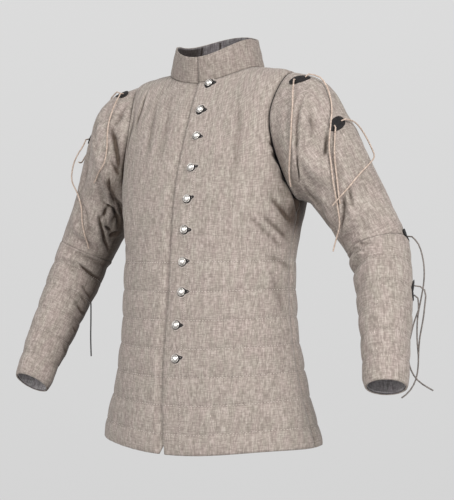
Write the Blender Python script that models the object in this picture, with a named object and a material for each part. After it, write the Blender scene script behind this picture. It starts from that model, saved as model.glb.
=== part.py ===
"""A gambeson: a quilted linen arming jacket, standing as it is worn, with nobody in it.

Metres, +Z up. The front faces -Y and the wearer's left is +X. The origin is the middle of the neck
seam, level with the point where the shoulder seam meets the collar: the wearer's neck and shoulders
hold the jacket up there.

Every panel is a wall between an outer skin, quilted, and a plain inner skin. The body's skin is a
stack of closed rings (TORSO), on which an angle of 0 is the centre front, 90 the wearer's left side
and 180 the centre back. A sleeve's skin runs from the armhole through a row of oval rings (SLEEVE).
"""

import math

import bmesh
import bpy
import numpy as np

# ---- driving dimensions, in metres and degrees ----
WALL = 0.0034  # cloth, wadding and lining where a quilting seam presses them together
SEAM = 0.0003  # gap between two pieces that are sewn together
PUFF_SKIRT = 0.0030  # how far the wadding swells between two quilting seams
PUFF_CHEST = 0.0016
PUFF_SLEEVE = 0.0026
PUFF_COLLAR = 0.0012

SHOULDER_TIP = 0.080  # how far down the rings the shoulder seam meets the sleeve
UNDERARM = 0.270
WAIST_SEAM = 0.393  # first of the quilting seams that run round the body
HEM = 0.775
SKIRT_CHANNELS = 7
SKIRT_PITCH = 0.057  # between two of those seams
SKIRT_SEAMS = np.append(WAIST_SEAM + SKIRT_PITCH * np.arange(SKIRT_CHANNELS), HEM)
HEM_LIFT = 0.005  # how much the front's hem rises between the middle and the side
ARMHOLE_FRONT = 34.0  # how far the armhole bites into the front, in degrees round the ring
ARMHOLE_BACK = 30.0
ARMHOLE_TOP = 0.3  # how much more it bites at its top, and less at its foot
VENT_TOP = 0.715  # the side seams are open below this
VENT_OPEN = 0.7  # degrees that each side of the vent stands back at the hem

# Where the left front ends, on top, at levels down the body: its edge swings to the wearer's left towards
# the neck.
OPENING_DOWN = np.array([0.0, 0.07, 0.15, 0.22, 0.30, 0.45, 0.60, 0.70, 0.775])
OPENING_X = np.array([0.0035, 0.0, -0.004, -0.009, -0.0135, -0.017, -0.022, -0.020, -0.014])
UNDERLAP = 0.036  # the right front goes on this far underneath
SINK = 0.0050  # the right front lies this much lower where it is covered
SINK_WIDTH = 0.022  # and the dip takes this far to get there
SPREAD_FROM = 0.640  # below this the right front swings away from under the left
SPREAD = 0.050

CHANNELS = 6  # quilted channels from the centre front to the side
STEPS = 3  # mesh cells across each channel
NECK_STEPS = 6  # cells along the neck seam from the centre to the shoulder seam
COLUMNS = CHANNELS * STEPS
ARM_ROWS = 10  # rows from the shoulder seam to the underarm
WAIST_ROWS = 4
SKIRT_ROWS = SKIRT_CHANNELS * STEPS
ROUND = 2 * ARM_ROWS  # cells round a sleeve

# Rings of the body, from the neck seam down. "down" names the ring. z and y are given at the centre
# front, the side and the centre back, and squareness is 2 for an oval.
TORSO_COLUMNS = "down z_front z_side z_back half_width y_front y_side y_back squareness"
TORSO_ROWS = (
    (0.000, -0.028, 0.006, 0.024, 0.102, -0.098, -0.021, 0.070, 2.0),
    (0.040, -0.070, 0.001, -0.014, 0.136, -0.116, -0.022, 0.088, 2.0),
    (0.080, -0.112, -0.012, -0.056, 0.179, -0.131, -0.024, 0.100, 2.1),
    (0.140, -0.160, -0.082, -0.118, 0.197, -0.146, -0.026, 0.106, 2.2),
    (0.205, -0.212, -0.180, -0.194, 0.203, -0.158, -0.030, 0.104, 2.3),
    (0.270, -0.270, -0.270, -0.270, 0.201, -0.166, -0.036, 0.093, 2.3),
    (0.335, -0.335, -0.334, -0.335, 0.192, -0.170, -0.045, 0.079, 2.2),
    (0.400, -0.400, -0.397, -0.399, 0.186, -0.173, -0.051, 0.069, 2.2),
    (0.480, -0.480, -0.475, -0.478, 0.187, -0.179, -0.052, 0.070, 2.2),
    (0.580, -0.578, -0.568, -0.574, 0.195, -0.187, -0.050, 0.083, 2.1),
    (0.680, -0.674, -0.661, -0.669, 0.215, -0.193, -0.048, 0.098, 2.1),
    (0.775, -0.767, -0.753, -0.760, 0.239, -0.197, -0.045, 0.113, 2.1),
)

# Oval rings of a sleeve (the left one). "lean" is how far its axis leans out from straight down and
# "reach" how far forward, in degrees; "across" is the half width from underside to top.
SLEEVE_COLUMNS = "along x y z lean reach across fore"
SLEEVE_ROWS = (
    (0.045, 0.228, -0.028, -0.154, 80, 0, 0.119, 0.094),
    (0.095, 0.252, -0.022, -0.188, 64, 0, 0.095, 0.086),
    (0.155, 0.278, -0.013, -0.231, 42, 0, 0.074, 0.075),
    (0.235, 0.314, -0.004, -0.298, 28, 0, 0.065, 0.067),
    (0.310, 0.350, 0.000, -0.362, 21, 9, 0.059, 0.062),
    (0.360, 0.366, -0.014, -0.408, 15, 20, 0.056, 0.059),
    (0.440, 0.384, -0.047, -0.481, 11, 23, 0.051, 0.054),
    (0.530, 0.401, -0.084, -0.562, 11, 23, 0.045, 0.049),
    (0.615, 0.416, -0.118, -0.640, 11, 23, 0.040, 0.043),
)
ELBOW = 0.310
CUFF = 0.615
# The arms hang a little unevenly: how far each cuff is out and up from the rows above, and its size.
ARMS = dict(left=dict(out=0.003, up=0.016, size=0.96), right=dict(out=-0.008, up=-0.008, size=0.91))
UPPER_ROWS = 15
LOWER_CHANNELS = 6
LOWER_ROWS = LOWER_CHANNELS * STEPS

# Collar: its upper rim. The lower rim is the neck seam.
RIM = dict(z_front=0.023, z_side=0.064, z_back=0.090, half_width=0.087, y_front=-0.102, y_side=-0.02, y_back=0.064)
COLLAR_ROWS = 4
COLLAR_GAP = 0.0012  # between the collar's two ends
LINING_WALL = 0.0010

BUTTON_RADIUS = 0.0078
BUTTON_DOME = 0.0052
BUTTON_SHANK = 0.0024
OPENING_TO_SIDE = 0.20  # the front's width, seen from in front
BUTTON_IN = (0.025, 0.022, 0.028, 0.030, 0.031, 0.030, 0.029, 0.031, 0.025, 0.030)  # from the left front's edge
BUTTON_DOWN = (0.006, 0.058, 0.118, 0.198, 0.268, 0.329, 0.392, 0.451, 0.516, 0.583)


def named_columns(names, rows):
    """A dict of one array for each named column."""
    return dict(zip(names.split(), np.array(rows, float).T))


TORSO = named_columns(TORSO_COLUMNS, TORSO_ROWS)
SLEEVE = named_columns(SLEEVE_COLUMNS, SLEEVE_ROWS)


def smooth(knots, values, at):
    """Reads a smooth curve through values[i] at knots[i]. values may hold several points for each knot,
    shape (knots, points, 3), and then each point is read at its own place."""
    at = np.asarray(at, float)
    step = np.diff(knots)
    wide = step.reshape((-1,) + (1,) * (values.ndim - 1))
    rise = np.diff(values, axis=0) / wide
    slope = np.empty_like(values)
    slope[1:-1] = (rise[:-1] * wide[1:] + rise[1:] * wide[:-1]) / (wide[:-1] + wide[1:])
    slope[0] = 1.5 * rise[0] - 0.5 * slope[1]
    slope[-1] = 1.5 * rise[-1] - 0.5 * slope[-2]
    i = np.clip(np.searchsorted(knots, at, "right") - 1, 0, len(knots) - 2)
    h, t = step[i], (at - knots[i]) / step[i]
    if values.ndim == 1:
        pick = lambda a, k: a[k]
    else:
        column = np.arange(values.shape[1])
        pick = lambda a, k: a[k, column]
        h, t = h[:, None], t[:, None]
    return (
        (2 * t**3 - 3 * t**2 + 1) * pick(values, i)
        + (t**3 - 2 * t**2 + t) * h * pick(slope, i)
        + (3 * t**2 - 2 * t**3) * pick(values, i + 1)
        + (t**3 - t**2) * h * pick(slope, i + 1)
    )


def torso_size(name, down):
    return smooth(TORSO["down"], TORSO[name], down)


def torso_point(theta, down):
    """Points on the body's skin before quilting."""
    theta, down = np.broadcast_arrays(np.asarray(theta, float), np.asarray(down, float))
    s, c = np.sin(np.radians(theta)), np.cos(np.radians(theta))
    power = 2 / torso_size("squareness", down)
    front = c > 0
    y_end = np.where(front, torso_size("y_front", down), torso_size("y_back", down))
    z_end = np.where(front, torso_size("z_front", down), torso_size("z_back", down))
    y_side, z_side = torso_size("y_side", down), torso_size("z_side", down)
    x = torso_size("half_width", down) * np.sign(s) * np.abs(s) ** power
    y = y_side + (y_end - y_side) * np.abs(c) ** power
    z = z_side + (z_end - z_side) * np.abs(c) ** 2
    z = z + HEM_LIFT * ease((down - SPREAD_FROM) / (HEM - SPREAD_FROM)) * (2 * s * c) ** 2 * front
    return np.stack([x, y, z], -1)


def unit(v):
    return v / np.maximum(np.linalg.norm(v, axis=-1, keepdims=True), 1e-12)


def torso_normal(theta, down):
    turn, fall = 0.6, 0.002
    across = torso_point(np.add(theta, turn), down) - torso_point(np.subtract(theta, turn), down)
    along = torso_point(theta, np.add(down, fall)) - torso_point(theta, np.subtract(down, fall))
    return unit(np.cross(along, across))


def theta_of(x, down):
    """The angle round the ring at which the skin is x from the middle, on the front."""
    share = np.clip(np.abs(x) / torso_size("half_width", down), 0, 1)
    return np.sign(x) * np.degrees(np.arcsin(share ** (torso_size("squareness", down) / 2)))


def x_of(theta, down):
    return torso_size("half_width", down) * np.sin(np.radians(theta)) ** (2 / torso_size("squareness", down))


def armhole_turn(down, bite):
    """How far from the side seam the armhole's edge is, in degrees, at each level."""
    level = np.clip((down - SHOULDER_TIP) / (UNDERARM - SHOULDER_TIP), 0, 1)
    return bite * np.sqrt(np.clip(1 - (2 * level - 1) ** 2, 0, 1)) * (1 + ARMHOLE_TOP * (1 - 2 * level))


def outer_theta(down, bite):
    """Where a panel ends on its outer side: at the armhole, the side seam or the vent."""
    vent = VENT_OPEN * np.clip((down - VENT_TOP) / (HEM - VENT_TOP), 0, 1)
    return 90 - armhole_turn(down, bite) - vent


def ease(t):
    t = np.clip(t, 0, 1)
    return t * t * (3 - 2 * t)


def skirt_levels(row):
    """How far down the mesh's rows below the waist's seam are."""
    return np.interp(np.asarray(row) / STEPS, np.arange(SKIRT_CHANNELS + 1), SKIRT_SEAMS)


def panel_grid(edge_of, bite):
    """(theta, down) of a half panel's mesh, [row, column]. Column 0 is the centre edge and the last one
    the armhole and side seam; row 0 is the neck and shoulder seam and the last one the hem."""
    column = np.arange(COLUMNS + 1)
    share = np.sin(np.pi / 2 * column / COLUMNS)
    neck, tip = torso_size("half_width", 0.0), torso_size("half_width", SHOULDER_TIP)
    edge = edge_of(0.0)
    top_x = np.where(
        column <= NECK_STEPS,
        edge + (neck - edge) * np.sin(np.pi / 2 * np.minimum(column / NECK_STEPS, 1)),
        neck + (tip - neck) * (column - NECK_STEPS) / (COLUMNS - NECK_STEPS),
    )
    levels = np.linspace(0, SHOULDER_TIP, 200)
    top = np.interp(top_x, torso_size("half_width", levels), levels)
    top[: NECK_STEPS + 1] = 0.0
    top[-1] = SHOULDER_TIP
    rows = []
    for row in range(ARM_ROWS + 1):
        even = row / ARM_ROWS
        round_ends = (1 - math.cos(math.pi * even)) / 2
        mix = even + (round_ends - even) * (column / COLUMNS) ** 2
        rows.append(top + (UNDERARM - top) * mix)
    for row in range(1, WAIST_ROWS + 1):
        rows.append(np.full(COLUMNS + 1, UNDERARM + (WAIST_SEAM - UNDERARM) * row / WAIST_ROWS))
    for row in range(1, SKIRT_ROWS + 1):
        rows.append(np.full(COLUMNS + 1, skirt_levels(row)))
    down = np.array(rows)
    edge = edge_of(down)
    reach = np.where(down < SHOULDER_TIP, tip, x_of(outer_theta(down, bite), down))
    top_share = (top_x - edge[0]) / (tip - edge[0])
    fade = ease((down - top) / 0.2)
    x = edge + (reach - edge) * (top_share + (share - top_share) * fade)
    theta = theta_of(x, down)
    theta[0, NECK_STEPS:] = 90
    theta[ARM_ROWS:, -1] = outer_theta(down[ARM_ROWS:, -1], bite)
    theta[: ARM_ROWS + 1, -1] = outer_theta(down[: ARM_ROWS + 1, -1], bite)
    return theta, down


def puff_profile(share):
    """Height of the wadding across a channel, from one quilting seam (0) to the next (1)."""
    return np.clip(4 * share * (1 - share), 0, 1) ** 0.6


def skirt_channel(down):
    """How many quilted channels below the waist's seam a level is."""
    return np.interp(down, SKIRT_SEAMS, np.arange(SKIRT_CHANNELS + 1))


def torso_puff(column_share, down):
    """How far the quilting stands out. column_share is 0 at the centre edge and 1 at the side."""
    upright = PUFF_CHEST * puff_profile((column_share * CHANNELS) % 1.0)
    upright = upright * ease(down / 0.03) * ease((WAIST_SEAM - down) / 0.03)
    round_body = PUFF_SKIRT * puff_profile(skirt_channel(down) % 1.0)
    ends = ease(column_share * 14) * ease((1 - column_share) * 20)
    return np.where(down < WAIST_SEAM, upright, round_body) * ends


# ---- sleeves ----


def armhole_point(around):
    """The armhole's edge on the left side. around is 0 at the shoulder, 90 in front, 180 underneath."""
    turn = np.radians(np.asarray(around, float))
    down = SHOULDER_TIP + (UNDERARM - SHOULDER_TIP) * (1 - np.cos(turn)) / 2
    bite = np.where(np.sin(turn) > 0, ARMHOLE_FRONT, ARMHOLE_BACK) * (1 + ARMHOLE_TOP * np.cos(turn))
    return torso_point(90 - bite * np.sin(turn), down), down, 90 - bite * np.sin(turn)


def sleeve_ring(side, row, around):
    """Points round one oval ring of a sleeve, the right one as if it were a left one."""
    lean, reach = math.radians(row["lean"]), math.radians(row["reach"])
    axis = unit(np.array([math.sin(lean), -math.sin(reach), -math.cos(lean) * math.cos(reach)]))
    top = unit(np.array([1.0, 0, 0]) - axis[0] * axis)
    fore = np.cross(axis, top)
    turn = np.radians(around)[:, None]
    arm = ARMS[side]
    below = max(0.0, (row["along"] - ELBOW) / (CUFF - ELBOW))
    size = 1 + (arm["size"] - 1) * below
    centre = np.array([row["x"] + arm["out"] * below, row["y"], row["z"] + arm["up"] * below])
    return centre + size * (top * row["across"] * np.cos(turn) + fore * row["fore"] * np.sin(turn))


def sleeve_base(side, around, along):
    """Points on a sleeve's skin, before folds and quilting. The right one is given as a left one."""
    around, along = (np.ravel(a) for a in np.broadcast_arrays(np.asarray(around, float), along))
    rings = [armhole_point(around)[0]]
    for i in range(len(SLEEVE["along"])):
        rings.append(sleeve_ring(side, {key: SLEEVE[key][i] for key in SLEEVE}, around))
    return smooth(np.concatenate([[0.0], SLEEVE["along"]]), np.array(rings), along)


def sleeve_frame(side, around, along):
    """(point, direction along the sleeve, outward normal) on a sleeve's skin."""
    turn, step = 0.8, 0.002
    across = sleeve_base(side, np.add(around, turn), along) - sleeve_base(side, np.subtract(around, turn), along)
    down = sleeve_base(side, around, np.add(along, step)) - sleeve_base(side, around, np.subtract(along, step))
    return sleeve_base(side, around, along), unit(down), unit(np.cross(across, down))


# Main folds of a sleeve. "turn" is the fold's slant: 0 runs along the sleeve and 90 round it. Lengths
# are half lengths, and a positive height is a ridge.
FOLD_COLUMNS = "along around turn length width height"
FOLD_ROWS = (
    (0.110, 62, 8, 0.060, 0.011, -0.0065),
    (0.120, 96, -6, 0.050, 0.014, 0.0050),
    (0.150, 118, 20, 0.050, 0.012, -0.0060),
    (0.205, 40, 5, 0.050, 0.014, -0.0040),
    (0.225, 150, 30, 0.040, 0.012, -0.0050),
    (0.262, 95, 55, 0.034, 0.011, 0.0045),
    (0.285, 120, 78, 0.034, 0.010, -0.0060),
    (0.320, 135, 84, 0.040, 0.010, -0.0070),
    (0.342, 110, 96, 0.034, 0.010, 0.0050),
    (0.362, 140, 88, 0.036, 0.010, -0.0060),
    (0.120, 250, -10, 0.055, 0.013, -0.0055),
    (0.190, 295, 12, 0.050, 0.014, -0.0040),
    (0.330, 225, 80, 0.036, 0.012, -0.0050),
    (0.420, 150, 70, 0.036, 0.012, -0.0035),
)
FOLDS = named_columns(FOLD_COLUMNS, FOLD_ROWS)


def fold_height(around, along):
    """The folds' height off the sleeve's skin."""
    around, along = np.broadcast_arrays(np.asarray(around, float), np.asarray(along, float))
    height = np.zeros(around.shape)
    radius = np.interp(along, SLEEVE["along"], SLEEVE["across"])
    for i in range(len(FOLDS["along"])):
        gap = (around - FOLDS["around"][i] + 180) % 360 - 180
        p, q = along - FOLDS["along"][i], np.radians(gap) * radius
        turn = math.radians(FOLDS["turn"][i])
        run = p * math.cos(turn) + q * math.sin(turn)
        off = q * math.cos(turn) - p * math.sin(turn)
        height += FOLDS["height"][i] * np.exp(-((run / FOLDS["length"][i]) ** 2 + (off / FOLDS["width"][i]) ** 2))
    ends = ease(along / 0.03) * ease((CUFF - along) / 0.03)
    return height * ends * ease(np.abs(along - ELBOW) / 0.012)


def sleeve_puff(along):
    channel = (along - ELBOW) / (CUFF - ELBOW) * LOWER_CHANNELS
    return np.where(along > ELBOW, PUFF_SLEEVE * puff_profile(channel % 1.0), 0.0)


def sleeve_surface(side, around, along, lift=0.0):
    """Points lift above a sleeve's finished outer skin."""
    point, _, normal = sleeve_frame(side, around, along)
    around, along = (np.ravel(a) for a in np.broadcast_arrays(np.asarray(around, float), along))
    height = np.ravel(lift) + fold_height(around, along) + sleeve_puff(along)
    return point + normal * height[:, None]


# ---- making objects ----


def material(name, colour, roughness, metallic=0.0):
    made = bpy.data.materials.new(name)
    made.use_nodes = True
    shader = made.node_tree.nodes["Principled BSDF"]
    shader.inputs["Base Color"].default_value = (*colour, 1)
    shader.inputs["Roughness"].default_value = roughness
    shader.inputs["Metallic"].default_value = metallic
    made.diffuse_color = (*colour, 1)
    return made


def add_mesh(name, points, faces, finish, sharp=50.0):
    """One closed object, with its faces turned out."""
    mesh = bpy.data.meshes.new(name)
    mesh.from_pydata([tuple(p) for p in points], [], faces)
    form = bmesh.new()
    form.from_mesh(mesh)
    bmesh.ops.recalc_face_normals(form, faces=form.faces)
    form.to_mesh(mesh)
    form.free()
    mesh.shade_smooth()
    mesh.set_sharp_from_angle(angle=math.radians(sharp))
    made = bpy.data.objects.new(name, mesh)
    bpy.context.scene.collection.objects.link(made)
    mesh.materials.append(finish)
    return made


def strip(first, second, first_at, second_at):
    """Triangles between two rows of point numbers that run side by side. first_at and second_at say how far
    along each point is, and both rows start and end together."""
    faces, i, j = [], 0, 0
    while i < len(first) - 1 or j < len(second) - 1:
        last = j == len(second) - 1
        if last or (i < len(first) - 1 and first_at[i + 1] - second_at[j] <= second_at[j + 1] - first_at[i]):
            faces.append((first[i], first[i + 1], second[j]))
            i += 1
        else:
            faces.append((first[i], second[j + 1], second[j]))
            j += 1
    return faces


def cells(number, closed=False):
    """Two triangles for each cell of a grid of point numbers [row, column], always cut the same way. A
    closed grid joins its last column to its first."""
    if closed:
        number = np.concatenate([number, number[:, :1]], axis=1)
    a, b, c, d = number[:-1, :-1], number[:-1, 1:], number[1:, 1:], number[1:, :-1]
    halves = [np.stack(corners, -1).reshape(-1, 3) for corners in ((a, b, c), (a, c, d))]
    return [tuple(face) for face in np.concatenate(halves).tolist()]


def thinned(count, every):
    """Every so many of 0..count-1, and always the last."""
    return sorted(set(range(0, count, every)) | {count - 1})


def wall(name, outer, inner, rows, columns, closed, finish):
    """A cloth wall: the outer skin's grid of points, and the inner skin's, of which only the named rows
    and columns are kept. The two are joined by strips along their edges."""
    kept = inner[np.ix_(rows, columns)]
    points = np.concatenate([outer.reshape(-1, 3), kept.reshape(-1, 3)])
    number_out = np.arange(outer.shape[0] * outer.shape[1]).reshape(outer.shape[:2])
    number_in = np.arange(kept.shape[0] * kept.shape[1]).reshape(kept.shape[:2]) + number_out.size
    every_row, every_column = list(range(outer.shape[0])), list(range(outer.shape[1]))
    if closed:
        number_out, number_in = (np.concatenate([n, n[:, :1]], axis=1) for n in (number_out, number_in))
        every_column, columns = [*every_column, outer.shape[1]], [*columns, outer.shape[1]]
    faces = cells(number_out) + cells(number_in)
    for edge in (0, -1):
        faces += strip(number_out[edge].tolist(), number_in[edge].tolist(), every_column, columns)
        if not closed:
            faces += strip(number_out[:, edge].tolist(), number_in[:, edge].tolist(), every_row, rows)
    return add_mesh(name, points, faces, finish)


# ---- the seams' shared edges ----


def collar_point(theta, share):
    """The collar's skin: share is 0 at the neck seam and 1 at the rim."""
    base = torso_point(theta, 0.0)
    s, c = np.sin(np.radians(theta)), np.cos(np.radians(theta))
    y_end = np.where(c > 0, RIM["y_front"], RIM["y_back"])
    z_end = np.where(c > 0, RIM["z_front"], RIM["z_back"])
    rim = np.stack(
        [
            RIM["half_width"] * s,
            RIM["y_side"] + (y_end - RIM["y_side"]) * np.abs(c),
            RIM["z_side"] + (z_end - RIM["z_side"]) * np.abs(c) ** 2,
        ],
        -1,
    )
    share = np.asarray(share, float)
    share = share[..., None] if share.ndim else share
    return base + (rim - base) * share


def collar_normal(theta):
    across = collar_point(np.add(theta, 0.6), 0.5) - collar_point(np.subtract(theta, 0.6), 0.5)
    up = collar_point(theta, 1.0) - collar_point(theta, 0.0)
    return unit(np.cross(across, up))


def seam_depth(own, other):
    """The step from a seam's outer line to its inner one, for a wall whose skin faces own, where it meets
    one that faces other: both walls end on the plane half way between them."""
    middle = unit(own + other)
    return middle * (WALL / np.maximum((middle * own).sum(-1), 0.42))[..., None]


def armhole_depth(side, around):
    """The same step at an armhole, given as the left one."""
    point, down, theta = armhole_point(around)
    own = torso_normal(theta, down)
    sleeve = sleeve_frame(side, around, np.full(np.shape(around), 0.004))[2]
    return seam_depth(own, sleeve)


def armhole_clear(side, around):
    """The direction from the body's edge to the sleeve's, square to the seam and to its depth."""
    seam = armhole_point(np.add(around, 1.0))[0] - armhole_point(np.subtract(around, 1.0))[0]
    away = unit(np.cross(seam, armhole_depth(side, around)))
    along = sleeve_frame(side, around, np.full(np.shape(around), 0.004))[1]
    return away * np.sign((away * along).sum(-1))[:, None]


def neck_depth(theta):
    return seam_depth(torso_normal(theta, 0.0), collar_normal(theta))


# ---- body panels ----


def dip_of(x, down):
    """How much lower the right front lies where the left one covers it, x being given as on the left."""
    return SINK * ease((SINK_WIDTH - x - left_edge(down)) / SINK_WIDTH)


def panel_skins(theta, down, column_share, sink, side):
    """(outer, inner) points of a body panel."""
    base = torso_point(theta, down)
    normal = torso_normal(theta, down)
    outer = base + normal * (torso_puff(column_share, down) * (sink < 0.0004) - sink)[..., None]
    inner = base - normal * (WALL + sink)[..., None]
    outer[:, -1, 1] += side * SEAM / 2
    inner[:, -1, 1] += side * SEAM / 2
    outer[0, NECK_STEPS:-1, 1] += side * SEAM / 2
    inner[0, NECK_STEPS:-1, 1] += side * SEAM / 2
    return outer, inner


def half_panel(side, edge_of, bite, back, sunk):
    """Skins of a half panel from the centre to the side, the right one as if it were a left one."""
    theta, down = panel_grid(edge_of, bite)
    sink = np.zeros(theta.shape)
    if sunk:
        sink = dip_of(torso_point(theta, down)[..., 0], down)
    share = np.broadcast_to(np.arange(COLUMNS + 1) / COLUMNS, theta.shape)
    if back:
        theta = 180 - theta
    outer, inner = panel_skins(theta, down, share, sink, 1 if back else -1)
    around = np.arange(ARM_ROWS + 1) * 180 / ARM_ROWS
    arm = armhole_depth(side, 360 - around if back else around)
    inner[: ARM_ROWS + 1, -1] = outer[: ARM_ROWS + 1, -1] - arm
    collar = neck_depth(theta[0, : NECK_STEPS + 1])
    inner[0, : NECK_STEPS + 1] = outer[0, : NECK_STEPS + 1] - collar
    return outer, inner


INNER_ROWS = sorted(
    set(thinned(ARM_ROWS + 1, 2))
    | set(range(ARM_ROWS, ARM_ROWS + WAIST_ROWS + 1, 2))
    | set(range(ARM_ROWS + WAIST_ROWS, ARM_ROWS + WAIST_ROWS + SKIRT_ROWS + 1, STEPS))
)
INNER_COLUMNS = [*range(NECK_STEPS), *range(NECK_STEPS, COLUMNS + 1, 2)]
BACK_INNER_COLUMNS = sorted({COLUMNS - k for k in INNER_COLUMNS} | {COLUMNS + k for k in INNER_COLUMNS})
MIRROR = np.array([-1.0, 1.0, 1.0])


def left_edge(down):
    return smooth(OPENING_DOWN, OPENING_X, np.clip(down, 0, HEM))


def right_edge(down):
    swing = np.clip((np.asarray(down, float) - SPREAD_FROM) / (HEM - SPREAD_FROM), 0, 1)
    return SPREAD * swing**1.6 - UNDERLAP - left_edge(down)


def make_fronts(finish):
    outer, inner = half_panel("left", left_edge, ARMHOLE_FRONT, False, False)
    wall("left_front", outer, inner, INNER_ROWS, INNER_COLUMNS, False, finish)
    outer, inner = half_panel("right", right_edge, ARMHOLE_FRONT, False, True)
    wall("right_front", outer * MIRROR, inner * MIRROR, INNER_ROWS, INNER_COLUMNS, False, finish)


def make_back(finish):
    middle = lambda down: 0 * np.asarray(down, float)
    left, right = (half_panel(side, middle, ARMHOLE_BACK, True, False) for side in ("left", "right"))
    joined = [np.concatenate([a[:, ::-1], b[:, 1:] * MIRROR], axis=1) for a, b in zip(left, right)]
    wall("back", *joined, INNER_ROWS, BACK_INNER_COLUMNS, False, finish)


# ---- collar ----


def collar_thetas():
    """Angles of the collar's columns: those of the panels' neck seams, round from front to front."""
    neck = torso_size("half_width", 0.0)
    step = np.sin(np.pi / 2 * np.arange(NECK_STEPS + 1) / NECK_STEPS)
    edge, under = float(left_edge(0.0)), float(right_edge(0.0))
    left = theta_of(edge + (neck - edge) * step, 0.0)
    right = theta_of(under + (neck - under) * step, 0.0)
    half_back = theta_of(neck * step, 0.0)
    start = COLLAR_GAP - edge
    right = right[right > math.degrees(math.asin(start / neck)) + 2]
    right = np.concatenate([[math.degrees(math.asin(start / neck))], right])
    round_back = np.concatenate([180 - half_back[::-1], 180 + half_back[1:]])
    return np.concatenate([left[:-1], round_back, 360 - right[::-1][1:]])


def collar_skin(theta, share):
    """The collar's skin, which dips at its right end with the right front."""
    point = collar_point(theta, share)
    dip = np.where(theta > 180, dip_of(-point[:, 0], 0.0), 0.0) * (1 - share)
    return point - torso_normal(theta, 0.0) * dip[:, None]


def make_collar(finish, lining):
    theta = collar_thetas()
    shares = np.linspace(0, 1, COLLAR_ROWS + 1)
    normal = collar_normal(theta)
    up = unit(collar_point(theta, 1.0) - collar_point(theta, 0.0))
    ends = ease(np.minimum(np.arange(len(theta)), np.arange(len(theta))[::-1]) / 2)
    outer, inner, cover, inside = [], [], [], []
    skins = {share: collar_skin(theta, share) for share in shares}
    for share in shares:
        skin = skins[share]
        puff = PUFF_COLLAR * puff_profile(share) * ends
        outer.append(skin + normal * puff[:, None])
        inner.append(skin - normal * WALL)
    for share in shares[::COLLAR_ROWS]:
        skin = skins[share]
        cover.append(skin - normal * (WALL + SEAM))
        inside.append(skin - normal * (WALL + SEAM + LINING_WALL))
    outer, inner, cover, inside = (np.array(skin) for skin in (outer, inner, cover, inside))
    inner[0] = skins[0.0] - neck_depth(theta)
    outer[0], inner[0] = outer[0] + up * SEAM, inner[0] + up * SEAM
    every = list(range(len(theta)))
    wall("collar", outer, inner, [0, COLLAR_ROWS], every, False, finish)
    low, high = 0.006, -0.003
    for skin in (cover, inside):
        skin[0] += up * low
        skin[-1] += up * high
    wall("collar_lining", cover, inside, [0, 1], every, False, lining)


# ---- sleeves ----

AROUND = np.arange(ROUND) * 360 / ROUND


def sleeve_skins(side, stations):
    """(outer, inner) grids of points of a sleeve."""
    outer, inner = [], []
    for along in stations:
        point, _, normal = sleeve_frame(side, AROUND, np.full(ROUND, along))
        fold = fold_height(AROUND, along)
        outer.append(sleeve_surface(side, AROUND, np.full(ROUND, along)))
        inner.append(point + normal * (fold - WALL)[:, None])
    return np.array(outer), np.array(inner)


def make_sleeve(side, cloth, lining):
    flip = MIRROR if side == "right" else np.ones(3)
    stations = np.linspace(0, ELBOW - SEAM / 2, UPPER_ROWS + 1)
    outer, inner = sleeve_skins(side, stations)
    away = armhole_clear(side, AROUND) * 2 * SEAM
    inner[0] = outer[0] - armhole_depth(side, AROUND) + away
    outer[0] = outer[0] + away
    every = list(range(0, ROUND, 2))
    rows = thinned(UPPER_ROWS + 1, 2)
    wall(f"{side}_upper_sleeve", outer * flip, inner * flip, rows, every, True, cloth)
    stations = np.linspace(ELBOW + SEAM / 2, CUFF, LOWER_ROWS + 1)
    outer, inner = sleeve_skins(side, stations)
    wall(f"{side}_lower_sleeve", outer * flip, inner * flip, list(range(0, LOWER_ROWS + 1, STEPS)), every, True, cloth)
    stations = stations[-1 - STEPS :: STEPS] - 0.002
    skins = []
    for depth in (WALL + 2 * SEAM, WALL + 2 * SEAM + LINING_WALL):
        rings = []
        for along in stations:
            point, _, normal = sleeve_frame(side, AROUND[::2], np.full(len(every), along))
            fold = fold_height(AROUND[::2], along)
            rings.append(point + normal * (fold - depth)[:, None])
        skins.append(np.array(rings) * flip)
    wall(f"{side}_cuff_lining", *skins, [0, 1], list(range(len(every))), True, lining)


# ---- buttons ----


def make_buttons(finish):
    sides = 8
    seat = 0.0004
    profile = (
        (0.0018, seat),
        (0.0018, seat + BUTTON_SHANK),
        (BUTTON_RADIUS, seat + BUTTON_SHANK + 0.0004),
        (BUTTON_RADIUS, seat + BUTTON_SHANK + 0.0012),
        (0.72 * BUTTON_RADIUS, seat + BUTTON_SHANK + 0.0036),
        (0.30 * BUTTON_RADIUS, seat + BUTTON_SHANK + BUTTON_DOME),
    )
    turn = np.arange(sides) * 2 * math.pi / sides
    # below the waist's seam the front's mesh is straight between its rows
    levels = np.concatenate([np.linspace(0, 0.99 * WAIST_SEAM, 40), skirt_levels(np.arange(SKIRT_ROWS + 1))])
    for i, (down, inset) in enumerate(zip(BUTTON_DOWN, BUTTON_IN)):
        theta = theta_of(left_edge(down) + inset, down)
        base, normal = torso_point(theta, down), torso_normal(theta, down)
        across = unit(np.cross(np.array([0.0, 0, 1]), normal))
        up = np.cross(normal, across)
        column_share = 2 / math.pi * math.asin(inset / OPENING_TO_SIDE)
        base = base + normal * np.interp(down, levels, torso_puff(column_share, levels))
        points, faces = [], []
        for radius, high in profile:
            ring = across * np.cos(turn)[:, None] * radius + up * np.sin(turn)[:, None] * radius
            points.append(base + normal * high + ring)
        number = np.arange(len(profile) * sides).reshape(len(profile), sides)
        faces = cells(number, True) + [tuple(number[0].tolist()), tuple(number[-1][::-1].tolist())]
        add_mesh(f"button_{i + 1:02d}", np.concatenate(points), faces, finish, 35)


# ---- leather patches and laces ----

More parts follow.
